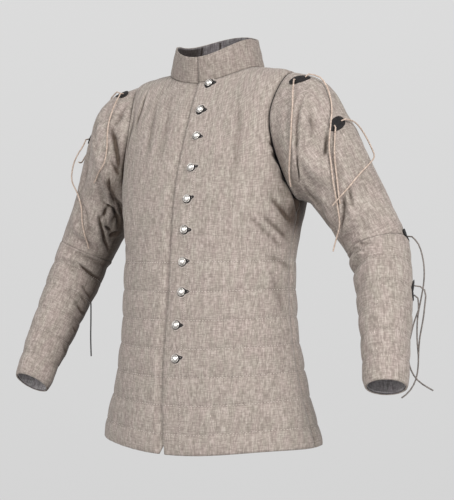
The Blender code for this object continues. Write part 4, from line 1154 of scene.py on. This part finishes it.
def running_stitch(line, normal, pitch=0.0062, length=0.0058):
    """Stitches along a line of points, as rows for add_stitches."""
    ends, step = gone(line)[-1], 0.0005
    at = np.arange(pitch / 2, ends, pitch)
    uneven = np.random.default_rng(len(at)).uniform(*UNEVEN, (len(at), 1))
    middle, up = along_line((line, normal), at)
    ahead = along_line(line, np.minimum(at + step, ends)) - along_line(line, np.maximum(at - step, 0))
    return middle + unit(up) * STITCH_LIFT, unit(ahead) * uneven * length / 2, unit(up)


# ---- body panels ----


def roll(distance):
    return SEAM_ROLL * np.exp(-((distance / ROLL_REACH) ** 2))


# Painted shade beside a seam: full on it, fading with distance from it.
def painted_seam_shade(distance):
    return np.exp(-((distance / SEAM_SHADE_REACH) ** 2))


def half_panel(side, panel, edge_of, bite):
    """Grids (outer, inner, uv, normal, bulge, painted shade) of a half panel, from the centre to the side.
    They are given as on the left."""
    back, sunk = panel.endswith("back"), panel == "right_front"
    theta, down = panel_grid(edge_of, bite)
    if back:
        theta = 180 - theta
    base, normal = torso_point(theta, down), torso_normal(theta, down)
    sink = dip_of(base[..., 0], down) if sunk else np.zeros(theta.shape)
    to_side = np.linalg.norm(base - base[:, -1:], axis=-1)
    to_top = np.linalg.norm(base - base[:1], axis=-1)
    height = torso_relief(panel, theta, down) * ease(1 - sink / SINK_START)
    side_seam = np.where(down < UNDERARM, 1.0, SIDE_ROLL * (down < VENT_TOP))
    height = height - roll(to_side) * side_seam - roll(to_top) * FLAT_SEAM
    u, v = cloth_place(theta, down, back)
    folds = crease_height(panel, u, v) * ease(1 - sink / SINK_START)
    outer = base + normal * (height - sink)[..., None]
    inner = base + normal * (folds - WALL - sink)[..., None]
    apart = (1 if back else -1) * SEAM / 2
    for skin in (outer, inner):
        skin[:, -1, 1] += apart
        skin[0, NECK_STEPS:-1, 1] += apart
    around = np.arange(ARM_ROWS + 1) * 180 / ARM_ROWS
    arm = armhole_depth(side, 360 - around if back else around)
    inner[: ARM_ROWS + 1, -1] = outer[: ARM_ROWS + 1, -1] - arm
    inner[0, : NECK_STEPS + 1] = outer[0, : NECK_STEPS + 1] - neck_depth(theta[0, : NECK_STEPS + 1])
    bulge = np.zeros(theta.shape)
    bulge[-1] = RIM_BULGE
    bulge[down[:, -1] > VENT_TOP, -1] = RIM_BULGE
    if not back:
        bulge[NECK_END:, 0] = RIM_BULGE
    # Painted shade: in creases, in the hollow under the arm, along the seams, and on the right front beside
    # the left one's edge.
    seam = np.abs(down[..., None] - SKIRT_SEAMS[:-1]).min(-1)
    below = down - UNDERARM - HOLLOW_DROP
    armpit = HOLLOW * np.exp(-((to_side / HOLLOW_REACH) ** 2 + (below / HOLLOW_REACH) ** 2))
    painted_shade_and_mottle = np.clip(-folds / FRONT_CREASE, 0, 1) + armpit + FLAT_SEAM * painted_seam_shade(to_top)
    painted_shade_and_mottle = painted_shade_and_mottle + QUILT_SHADE * painted_seam_shade(seam)
    armhole = ARMHOLE_TOP_SHADE + (1 - ARMHOLE_TOP_SHADE) * ease((down - ARMHOLE_FULL) / ARMHOLE_FULL)
    painted_shade_and_mottle = painted_shade_and_mottle + painted_seam_shade(to_side) * np.where(down < UNDERARM, armhole, SIDE_SHADE)
    if sunk:
        painted_shade_and_mottle = painted_shade_and_mottle + OVERLAP_SHADE * np.exp(-(((base[..., 0] + left_edge(down)) / OVERLAP_REACH) ** 2))
    return outer, inner, np.stack([u, -v], -1), normal, bulge, painted_shade_and_mottle


SEAM_LINES = ARM_ROWS + WAIST_ROWS + STEPS * np.arange(SKIRT_CHANNELS)  # rows of the skirt's quilting seams


def panel_stitches(outer, normal, first, last):
    return [running_stitch(outer[row, first:last], normal[row, first:last]) for row in SEAM_LINES]


def make_front(side, finish, lining, thread):
    panel = f"{side}_front"
    flip, edge_of = FLIP[side], right_edge if side == "right" else left_edge
    outer, inner, uv, normal, bulge, painted_shade_and_mottle = half_panel(side, panel, edge_of, ARMHOLE_FRONT)
    spots = panel_stitches(outer * flip, normal * flip, 1, COLUMNS - 1)
    if side == "left":
        rows, at = range(2, len(outer) - 2), left_edge(-uv[:, 0, 1]) + PLACKET
        line, up = (
            np.array([[np.interp(at[r], outer[r, :, 0], grid[r, :, k]) for k in range(3)] for r in rows])
            for grid in (outer, normal)
        )
        spots.append(running_stitch(line, up, *PLACKET_STITCH))
    made = cloth_piece(panel, outer * flip, inner * flip, uv * (flip[0], 1), bulge, painted_shade_and_mottle, (finish, lining))
    add_stitches(f"{panel}_stitches", spots, thread)


def make_back(finish, lining, thread):
    middle = lambda down: 0 * np.asarray(down, float)
    halves = []
    for side, flip in FLIP.items():
        outer, inner, uv, normal, bulge, painted_shade_and_mottle = half_panel(side, f"{side}_back", middle, ARMHOLE_BACK)
        halves.append((outer * flip, inner * flip, uv * (flip[0], 1), normal * flip, bulge, painted_shade_and_mottle))
    whole = (np.concatenate([left[:, ::-1], right[:, 1:]], axis=1) for left, right in zip(*halves))
    outer, inner, uv, normal, bulge, painted_shade_and_mottle = whole
    made = cloth_piece("back", outer, inner, uv, bulge, painted_shade_and_mottle, (finish, lining))
    stitches = add_stitches("back_stitches", panel_stitches(outer, normal, 1, 2 * COLUMNS), thread)


# ---- collar ----

COLLAR_FADE = 6  # columns over which its swell ends at each end
COLLAR_LUMPS = 0.00036
COLLAR_PUFF = PUFF_COLLAR / 2  # it is quilted flatter than the solid allows for
LINING_SEAMS = np.array([150.0, 176.0, 205.0, 232.0])  # where its lining is pieced, in degrees round it
LINING_RADIUS = 0.09  # which turns those degrees into metres
LINING_FOOT, LINING_RIM = 0.006, -0.003  # how far up the lining's two edges are moved from the collar's
LINING_SHADE = 0.12  # all over it
LINING_DARK = 0.80  # and more round the wearer's right
LINING_DARK_FROM, LINING_DARK_WIDTH = 226.0, 16.0  # degrees: where that starts, and how soon it is full


def make_collar(finish, lining, thread):
    theta = collar_thetas()
    shares = np.linspace(0, 1, COLLAR_ROWS + 1)
    normal = collar_normal(theta)
    up = unit(collar_point(theta, 1.0) - collar_point(theta, 0.0))
    ends = ease(np.minimum(np.arange(len(theta)), np.arange(len(theta))[::-1]) / COLLAR_FADE)
    metres = gone(collar_point(theta, 0.5))
    tall = np.linalg.norm(collar_point(theta, 1.0) - collar_point(theta, 0.0), axis=-1)
    outer, inner, cover, inside, uv = [], [], [], [], []
    for share in shares:
        skin = collar_skin(theta, share)
        rough = COLLAR_LUMPS * (lumps(skin, 0.05, 31) + 0.5 * lumps(skin, 0.022, 32))
        rough = rough - roll(share * tall) * FLAT_SEAM
        puff = (COLLAR_PUFF * puff_profile(share) + rough) * ends
        outer.append(skin + normal * puff[:, None])
        inner.append(skin - normal * WALL)
        cover.append(skin - normal * (WALL + SEAM))
        inside.append(skin - normal * (WALL + SEAM + LINING_WALL))
        uv.append(np.stack([metres, share * tall], -1))
    outer, inner, cover, inside, uv = (np.array(skin) for skin in (outer, inner, cover, inside, uv))
    inner[0] = collar_skin(theta, 0.0) - neck_depth(theta)
    outer[0], inner[0] = outer[0] + up * SEAM, inner[0] + up * SEAM
    bulge = np.zeros(uv.shape[:2])
    bulge[-1] = RIM_BULGE
    # painted: the whole collar darker, and shade along its neck seam
    painted_shade_and_mottle = COLLAR_DARKENING + FLAT_SEAM * painted_seam_shade(uv[..., 1])
    made = cloth_piece("collar", outer, inner, uv, bulge, painted_shade_and_mottle, (finish, lining))
    for skin in (cover, inside):
        skin += up * (LINING_FOOT + (LINING_RIM - LINING_FOOT) * shares[:, None, None])
    # painted shade on the lining: along its piecing seams, all over, and more round the wearer's right
    piecing = np.abs(theta[:, None] - LINING_SEAMS).min(-1) * math.radians(LINING_RADIUS)
    end = LINING_DARK * ease((theta - LINING_DARK_FROM) / LINING_DARK_WIDTH)
    painted_shade_and_mottle = painted_seam_shade(piecing) + end + LINING_SHADE + 0 * bulge
    inside_cloth = cloth_piece("collar_lining", inside, cover, uv, 0 * bulge, painted_shade_and_mottle, (lining, lining))
    line = running_stitch(outer[-3, 2:-2], normal[2:-2])
    add_stitches("collar_stitches", [line], thread, 0.0010)


# ---- sleeves ----

AROUND = SLEEVE_CUT + np.arange(ROUND) * 360 / ROUND
CUFF_SLANT = dict(left=0.0, right=0.0075)  # how much a cuff is cut off on one side and left on the other
SLANT_AROUND = 118.0  # where it is shortest, in degrees round the sleeve
SLANT_REACH = 0.070  # above this the rows are level again
CUFF_LINING_IN = 0.002  # from the cuff's edge to its lining's
ARMHOLE_FOOT = 0.095  # where the upper arm's axis begins to run straight


def sleeve_uv(stations):
    """The sleeve's cloth, one column more than its skin."""
    place = np.stack(sleeve_place(*np.meshgrid(AROUND, stations)), -1) * (1, -1)
    last = place[:, :1] * (-1, 1)
    return np.concatenate([place, last], axis=1)


def arm_frame(start, end):
    """Columns across, down and through an arm between two of its rings, for a sleeve's threads."""
    axis_point = lambda at: np.array([np.interp(at, SLEEVE["along"], SLEEVE[key]) for key in "xyz"])
    down = unit(axis_point(end) - axis_point(start))
    across = unit(np.cross(down, (0.0, 1.0, 0.0)))
    return np.stack([across, down, np.cross(across, down)], -1)


def cuff_row(side, along):
    """Each column's place down the sleeve, for a row of its cloth: the cuff is cut a little on the slant."""
    share = ease((along - CUFF + SLANT_REACH) / SLANT_REACH)
    return along - CUFF_SLANT[side] * share * np.cos(np.radians(AROUND - SLANT_AROUND))


def inside_shade(side, along):
    """Shade down the arm's inner side, for a row of a sleeve's cloth."""
    round_cloth = sleeve_place(AROUND, along)[0]
    shade = ease((round_cloth - INSIDE_START) / INSIDE_WIDTH) * ease(along / INSIDE_TOP)
    if side == "left":
        return INSIDE_SHADE[side] * (shade * ease((LEFT_END - along) / LEFT_FADE))
    shade = shade * (1 - RIGHT_PALER * ease((along - RIGHT_FOOT) / RIGHT_FADE))
    to_edge = round_cloth - np.interp(along, *zip(*EDGE_LINE))
    edge = RIGHT_EDGE * np.exp(-((to_edge / EDGE_REACH) ** 2)) * ease(along / INSIDE_TOP)
    return INSIDE_SHADE[side] * (RIGHT_PLAIN * shade + edge)


def sleeve_painted_shade(side, along, folds):
    """Painted shade of a row of a sleeve's cloth with these folds: in its creases, under the arm, down
    the arm's inner side and along its seams.
    """
    depth = -(folds - LARGE_FOLD * fold_height(AROUND, along))
    fine = CREASE_SHADE[side] * np.clip(depth / CREASE_DEPTH, 0, 1) ** CREASE_CURVE
    under = ease((UNDER_NONE - np.abs((AROUND % 360) - 180)) / UNDER_FADE)
    armpit = ARMPIT_SHADE * under**4 * np.exp(-((along / ARMPIT_REACH) ** 2))
    armhole = painted_seam_shade(along) * (ARMHOLE_TOP_SHADE + (1 - ARMHOLE_TOP_SHADE) * under)
    quilt = np.abs(along - ELBOW - LOWER_PITCH * np.arange(LOWER_CHANNELS)).min()
    sewn = ELBOW_SHADE * painted_seam_shade(along - ELBOW) + QUILT_SHADE * painted_seam_shade(quilt)
    return fine + armpit + inside_shade(side, along) + armhole + sewn


def sleeve_skins(side, stations):
    """(outer, inner, normal, painted shade) grids of a sleeve, given as on the left."""
    outer, inner, normals, painted_shades = [], [], [], []
    for along in stations:
        row = cuff_row(side, along)
        point, _, normal = sleeve_frame(side, AROUND, row)
        height = sleeve_relief(side, AROUND, row) + sleeve_puff(along)
        height = height - roll(along) - roll(along - ELBOW) * FLAT_SEAM
        folds = sleeve_folds(side, AROUND, along)
        outer.append(point + normal * height[:, None])
        inner.append(point + normal * (folds - WALL)[:, None])
        normals.append(normal)
        painted_shades.append(sleeve_painted_shade(side, along, folds))
    return np.array(outer), np.array(inner), np.array(normals), np.array(painted_shades)


def make_sleeve(side, finish, lining, cuff, thread):
    flip = FLIP[side]

    def tube(part, frame, outer, inner, uv, bulge, painted_shade_and_mottle, finishes):
        skins, frame = (outer * flip, inner * flip), frame * flip[:, None]
        return cloth_piece(f"{side}_{part}", *skins, uv, bulge, painted_shade_and_mottle, finishes, True, frame)

    stations = np.linspace(0, ELBOW - SEAM / 2, UPPER_ROWS + 1)
    outer, inner, normal, painted_shade_and_mottle = sleeve_skins(side, stations)
    away = armhole_clear(side, AROUND) * 2 * SEAM
    inner[0] = outer[0] - armhole_depth(side, AROUND) + away
    outer[0] = outer[0] + away
    uv, bulge, frame = sleeve_uv(stations), np.zeros(outer.shape[:2]), arm_frame(ARMHOLE_FOOT, ELBOW)
    upper = tube("upper_sleeve", frame, outer, inner, uv, bulge, painted_shade_and_mottle, (finish, lining))
    stations = np.linspace(ELBOW + SEAM / 2, CUFF, LOWER_ROWS + 1)
    outer, inner, normal, painted_shade_and_mottle = sleeve_skins(side, stations)
    uv, bulge, frame = sleeve_uv(stations), np.zeros(outer.shape[:2]), arm_frame(ELBOW, CUFF)
    bulge[-1] = RIM_BULGE
    lower = tube("lower_sleeve", frame, outer, inner, uv, bulge, painted_shade_and_mottle, (finish, lining))
    rows = LOWER_STEPS * np.arange(1, LOWER_CHANNELS)
    spots = [running_stitch(closed_ring(outer[r]) * flip, closed_ring(normal[r]) * flip) for r in rows]
    stitches = add_stitches(f"{side}_sleeve_stitches", spots, thread, 0.0012)
    depths = (WALL + 2 * SEAM, WALL + 2 * SEAM + LINING_WALL)
    skins = [outer[-1 - LOWER_STEPS :] * 0 for _ in depths]
    for k, along in enumerate(stations[-1 - LOWER_STEPS :] - CUFF_LINING_IN):
        point, _, normal = sleeve_frame(side, AROUND, cuff_row(side, along))
        folds = sleeve_folds(side, AROUND, along)
        for skin, depth in zip(skins, depths):
            skin[k] = point + normal * (folds - depth)[:, None]
    flat = np.zeros(skins[0].shape[:2])
    # the cuff's lining takes the lining cloth painted lighter, a painted light
    made = tube("cuff_lining", frame, *skins, uv[-1 - LOWER_STEPS :], flat, flat, (cuff, cuff))


# ---- buttons and buttonholes ----

BUTTONHOLE_TURN = (-8, -12, -20, 12, 20, 0, 8, 6, 0, 14)  # degrees each one slants up from level
BUTTONHOLE = 0.0087  # from its middle to its edge, where the button pulls it round
BUTTONHOLE_TIP = 0.0075  # how much further it is open past the button
TIP_WIDTH = 0.33  # of that point, in radians
BUTTONHOLE_SHIFT = 0.0006  # its middle lies this much off the button's, so the dark ring round the button, a painted shadow, is wider on one side
BUTTON_SIDES, BUTTONHOLE_SIDES = 28, 56
# Its dark opening, which is the slit and also a painted shadow round the button: (share of the way out
# to its edge, height over the cloth).
OPENING = ((0.03, -0.0006), (0.97, -0.0006), (1.0, 0.0002), (0.6, 0.0002), (0.03, 0.0002))
STITCH_REACH = 0.0036  # how wide its worked edge is
WORKED_LIFT = 0.0003  # and how far that stands off the cloth


def front_point(x, down, lift):
    """(points, normals) on the left front, lift above its cloth."""
    theta = theta_of(x, down)
    normal = torso_normal(theta, down)
    height = torso_relief("left_front", theta, down) + lift
    return torso_point(theta, down) + normal * height[..., None], normal


def lathe(name, place, across, up, normal, profile, sides, finishes):
    """A turned piece that stands on place. profile holds (radius, height, which finish from there on)."""
    turn = np.arange(sides) * 2 * math.pi / sides
    ring = np.cos(turn)[:, None] * across + np.sin(turn)[:, None] * up
    points = np.concatenate([place + normal * high + radius * ring for radius, high, _ in profile])
    which = np.repeat([row[2] for row in profile[:-1]], sides).tolist() + [0, 0]
    return add_piece(name, points, capped_faces(len(profile), sides), which, finishes)


def button_profile():
    """A cast button, (radius, height, finish): its shank, a rim, a dark groove inside it and a dome."""
    seat, shank, dome_foot, dome_share = 0.0004, 0.0018, 0.0008, 0.78
    brim = seat + BUTTON_SHANK
    # Shares of the radius, heights over the brim, and the finish from there on.
    rim = ((0.90, 0.0001, 0), (1.0, 0.0005, 0), (1.0, 0.0010, 0), (0.94, 0.0015, 0))
    groove = ((0.86, 0.0014, 1), (0.82, dome_foot, 1), (dome_share, dome_foot, 0))
    rows = [(share * BUTTON_RADIUS, brim + high, which) for share, high, which in rim + groove]
    dome = BUTTON_DOME - dome_foot
    for turn in np.radians([8, 22, 38, 54, 70, 83]):
        radius = dome_share * math.cos(turn) * BUTTON_RADIUS
        rows.append((radius, brim + dome_foot + dome * math.sin(turn), 0))
    return [(shank, seat, 1), (shank, brim, 1), *rows]


def buttonhole_edge(turn, grow):
    """(run, off) of a buttonhole's edge, which is pulled round by its button and pointed past it."""
    away = (np.asarray(turn) + math.pi) % (2 * math.pi) - math.pi
    reach = BUTTONHOLE + grow + BUTTONHOLE_TIP * np.exp(-((away / TIP_WIDTH) ** 2))
    return reach * np.cos(turn) - BUTTONHOLE_SHIFT, reach * np.sin(turn) - BUTTONHOLE_SHIFT


def make_buttons(pewter, groove, thread, gap):
    """The buttons, and the worked buttonholes they come through, whose dark openings also paint a shadow
    round each button.
    """
    worked = []
    turn = np.arange(BUTTONHOLE_SIDES) * 2 * math.pi / BUTTONHOLE_SIDES
    for i, (down, inset) in enumerate(zip(BUTTON_DOWN, BUTTON_IN)):
        middle = float(left_edge(down)) + inset
        place, normal = (a[0] for a in front_point(np.array([middle]), np.array([down]), 0.0))
        across = unit(np.cross(np.array([0.0, 0, 1]), normal))
        across = across * np.sign(across[0])
        up = np.cross(normal, across)
        up, name = up * np.sign(up[2]), f"button_{i + 1:02d}"
        axes = across, up, normal
        button = lathe(f"{name}_cast", place, *axes, button_profile(), BUTTON_SIDES, (pewter, groove))
        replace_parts(button, name)
        slant = math.radians(BUTTONHOLE_TURN[i])

        def ring(share, grow, lift):
            """A ring of points on the cloth, this share of the way out to the buttonhole's edge."""
            run, off = (share * part for part in buttonhole_edge(turn, grow))
            x = middle + run * math.cos(slant) - off * math.sin(slant)
            return front_point(x, down - run * math.sin(slant) - off * math.cos(slant), lift)

        near, far = ring(1.0, 0.0, WORKED_LIFT)[0], ring(1.0, STITCH_REACH, WORKED_LIFT)[0]
        worked.append(((near + far) / 2, (far - near) / 2, ring(1.0, STITCH_REACH, 0.0)[1]))
        points = np.concatenate([ring(share, 0.0, lift)[0] for share, lift in OPENING])
        faces = capped_faces(len(OPENING), BUTTONHOLE_SIDES)
        add_piece(f"buttonhole_{i + 1:02d}", points, faces, np.zeros(len(faces)), [gap])
    add_stitches("buttonhole_stitches", worked, thread, 0.0012)


# ---- patches and laces ----


PATCH_ROUND = 60  # points round a patch
PATCH_SEAM = 0.86  # the share of its outline at which it is sewn down
PATCH_STITCH = 0.0034, 0.0022  # pitch and length
# A patch from below its middle, over its edge and back: (share of the outline, share of the thickness).
PATCH_UNDER = ((0.02, 0.0), (0.5, 0.0), (0.96, 0.0), (1.0, 0.25), (1.0, 0.7), (0.97, 0.93))
PATCH_OVER = ((0.90, 0.98), (0.86, 0.80), (0.82, 0.98), (0.70, 1.0), (0.50, 1.0), (0.30, 0.98))
PATCH_PROFILE = (*PATCH_UNDER, *PATCH_OVER, (0.15, 0.97), (0.02, 0.97))


def make_patch(side, name, finish, thread):
    turn = np.arange(PATCH_ROUND) * 2 * math.pi / PATCH_ROUND
    long = np.cos(turn) * PATCH_LENGTH / 2
    wide = np.sign(np.sin(turn)) * np.abs(np.sin(turn)) ** 0.9 * PATCH_WIDTH / 2

    def ring(share, height):
        """A ring of points at this share of the outline and of the leather's thickness."""
        lift = PATCH_SEAT + height * PATCH_WALL
        return patch_point(side, name, long * share, wide * share, lift) * FLIP[side]

    points, faces = [ring(*row) for row in PATCH_PROFILE], ring_faces(len(PATCH_PROFILE), PATCH_ROUND)
    own = f"{side}_{name}_patch"
    patch = add_piece(f"{own}_leather", np.concatenate(points), faces, np.zeros(len(faces)), [finish])
    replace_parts(patch, own)
    line, above = closed_ring(ring(PATCH_SEAM, PATCH_SEAM)), closed_ring(ring(PATCH_SEAM, 2.0))
    add_stitches(f"{own}_stitches", [running_stitch(line, above - line, *PATCH_STITCH)], thread, 0.0007)


def lace_line(name):
    """A lace's route, as the CAD part has it, with its points closer together."""
    points = lace_points(name) * FLIP[name.split("_")[0]]
    metres = gone(points)
    count = int(np.clip(round(metres[-1] / THONG_STEP), *THONG_POINTS))
    at = np.linspace(0, metres[-1], 400)
    fine = np.stack([smooth(metres, points[:, k], at) for k in range(3)], -1)
    return along_line(fine, np.linspace(0, gone(fine)[-1], count))


def make_lace(name, finish):
    points = lace_line(name)
    curve = bpy.data.curves.new(f"{name}_thong", "CURVE")
    curve.dimensions = "3D"
    curve.bevel_depth = LACE / 2
    curve.bevel_resolution = 3
    curve.use_fill_caps = True
    line = curve.splines.new("POLY")
    line.points.add(len(points) - 1)
    for place, point in zip(line.points, points):
        place.co = (*point, 1)
    line.use_smooth = True
    curve.materials.append(finish)
    made = add_object(f"{name}_thong", curve)
    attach(made, "root")
    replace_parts(made, name)


# ---- camera, light and floor ----


PICTURE = 500  # pixels that the next three are measured in, top to bottom
FOCAL, ACROSS, ABOVE = 1248, 5, 35  # focal length, and how far the camera is moved across and tilted up
CAMERA_TURN, CAMERA_AWAY, CAMERA_HEIGHT = 30.5, 2.6, -0.4375


def add_camera():
    turn, tilt = math.radians(CAMERA_TURN), math.atan(ABOVE / FOCAL)
    across = np.array([math.cos(turn), math.sin(turn), 0.0])
    behind = np.array([math.sin(turn), -math.cos(turn), 0.0])
    ahead = -behind * math.cos(tilt) + np.array([0, 0, math.sin(tilt)])
    camera = add_object("camera", bpy.data.cameras.new("camera"))
    camera.data.sensor_width = 36.0
    camera.data.lens = camera.data.sensor_width * FOCAL / PICTURE
    aside = across * (ACROSS * CAMERA_AWAY / FOCAL)
    camera.location = behind * CAMERA_AWAY + np.array([0, 0, CAMERA_HEIGHT]) + aside
    camera.rotation_mode = "XYZ"
    camera.rotation_euler = (math.pi / 2 + math.asin(ahead[2]), 0.0, math.atan2(-ahead[0], ahead[1]))
    bpy.context.scene.camera = camera


def add_light(name, place, target, size, power, colour):
    light = bpy.data.lights.new(name, "AREA")
    light.shape, light.size, light.energy, light.color = "DISK", size, power, colour
    made = add_object(name, light)
    made.location = place
    gaze = np.array(target) - np.array(place)
    made.rotation_mode = "XYZ"
    flat = math.hypot(gaze[0], gaze[1])
    made.rotation_euler = (math.atan2(flat, -gaze[2]), 0.0, math.atan2(gaze[1], gaze[0]) - math.pi / 2)


FLOOR, FLOOR_RADIUS, FLOOR_SIDES = -1.25, 2.0, 64


def add_studio():
    """A pale room, a little darker low down, with soft light from the front and the viewer's right."""
    bpy.context.scene.view_settings.view_transform = "Standard"
    world = bpy.data.worlds.new("studio")
    bpy.context.scene.world = world
    world.use_nodes = True
    tree = world.node_tree
    ground = tree.nodes["Background"]
    direction = node(tree, "ShaderNodeTexCoord").outputs["Generated"]
    height = node(tree, "ShaderNodeSeparateXYZ", [(0, direction)]).outputs[2]
    limits = [("Value", height), ("From Min", -0.16), ("From Max", 0.22)]
    share = node(tree, "ShaderNodeMapRange", limits).outputs[0]
    tree.links.new(ramp(tree, share, (0.0, (0.662,) * 3), (1.0, (0.712,) * 3)), ground.inputs["Color"])
    add_light("key", (2.9, -1.7, 1.3), (0, 0, -0.35), 1.9, 135.0, (1.0, 0.98, 0.965))
    add_light("fill", (-0.8, -3.6, 0.5), (0, 0, -0.35), 1.8, 62.0, (1.0, 0.99, 0.98))
    add_light("low", (0.7, -2.4, -1.1), (0, 0, -0.6), 1.0, 12.0, (1.0, 0.99, 0.98))
    made, tree, shader = new_material("pale_floor")
    cloud = grain(tree, node(tree, "ShaderNodeTexCoord").outputs["Object"], (3, 3, 3))
    tree.links.new(ramp(tree, cloud, (0.3, (0.43,) * 3), (0.7, (0.46,) * 3)), shader.inputs["Base Color"])
    set_inputs(shader, {"Roughness": 0.9})
    turns = np.arange(FLOOR_SIDES) * 2 * math.pi / FLOOR_SIDES
    points = [(FLOOR_RADIUS * math.cos(turn), FLOOR_RADIUS * math.sin(turn), FLOOR) for turn in turns]
    mesh = bpy.data.meshes.new("floor")
    mesh.from_pydata(points, [], [tuple(range(FLOOR_SIDES))])
    mesh.materials.append(made)
    add_object("floor", mesh)


# ---- all of it ----


def main():
    add_camera()
    suede = 0.004, 0.75, 0.0003  # size of its mottling, roughness and relief
    # The grey and the dark copies of the lace leather are painted shade on the hanging laces.
    thongs = dict(
        pale=speckled("leather_lace", (0.27, 0.205, 0.165), (0.46, 0.37, 0.31), *suede),
        grey=speckled("lace_leather_painted_shade", (0.085, 0.074, 0.068), (0.20, 0.175, 0.160), *suede),
        dark=speckled("lace_leather_painted_deep_shade", (0.018, 0.016, 0.015), (0.050, 0.045, 0.042), *suede),
    )
    for name in LACES:
        make_lace(name, thongs[LACE_SHADES.get(name, "pale")])
    cloth = linen("linen", (0.173, 0.143, 0.128), (0.247, 0.206, 0.187), (0.346, 0.298, 0.274))
    lining = linen("lining_linen", (0.062, 0.054, 0.058), (0.105, 0.094, 0.100), (0.170, 0.155, 0.163), 0.05)
    # the lining again, painted lighter for the insides of the cuffs, as if more light reached them
    cuff = linen("lining_linen_painted_lighter", (0.15, 0.135, 0.142), (0.24, 0.22, 0.23), (0.36, 0.335, 0.345), 0.05)
    thread = speckled("thread", (0.37, 0.325, 0.297), (0.53, 0.475, 0.44), 0.0006, 0.85, 0.0002)
    fine_thread = speckled("fine_thread", (0.27, 0.232, 0.208), (0.40, 0.35, 0.32), 0.0006, 0.85, 0.0002)
    black_thread = speckled("black_thread", (0.015, 0.014, 0.014), (0.05, 0.045, 0.045), 0.0006, 0.7, 0.0002)
    # near black for the buttonholes' openings, which also paint a shadow round each button
    gap = speckled("gap", (0.006, 0.005, 0.005), (0.014, 0.012, 0.012), 0.001, 0.9, 0.0001)
    pewter = speckled("pewter", (0.50, 0.48, 0.455), (0.86, 0.84, 0.81), 0.0022, 0.34, 0.0002, 1.0)
    groove = speckled("tarnished_pewter", (0.05, 0.045, 0.04), (0.14, 0.13, 0.12), 0.0012, 0.5, 0.0002, 1.0)
    black = leather("black_leather")
    for side in ("left", "right"):
        make_front(side, cloth, lining, thread)
        make_sleeve(side, cloth, lining, cuff, fine_thread)
        for name in ("shoulder", "arm", "elbow", "forearm"):
            make_patch(side, name, black, black_thread)
    make_back(cloth, lining, thread)
    make_collar(cloth, lining, fine_thread)
    make_buttons(pewter, groove, thread, gap)
    add_studio()


main()
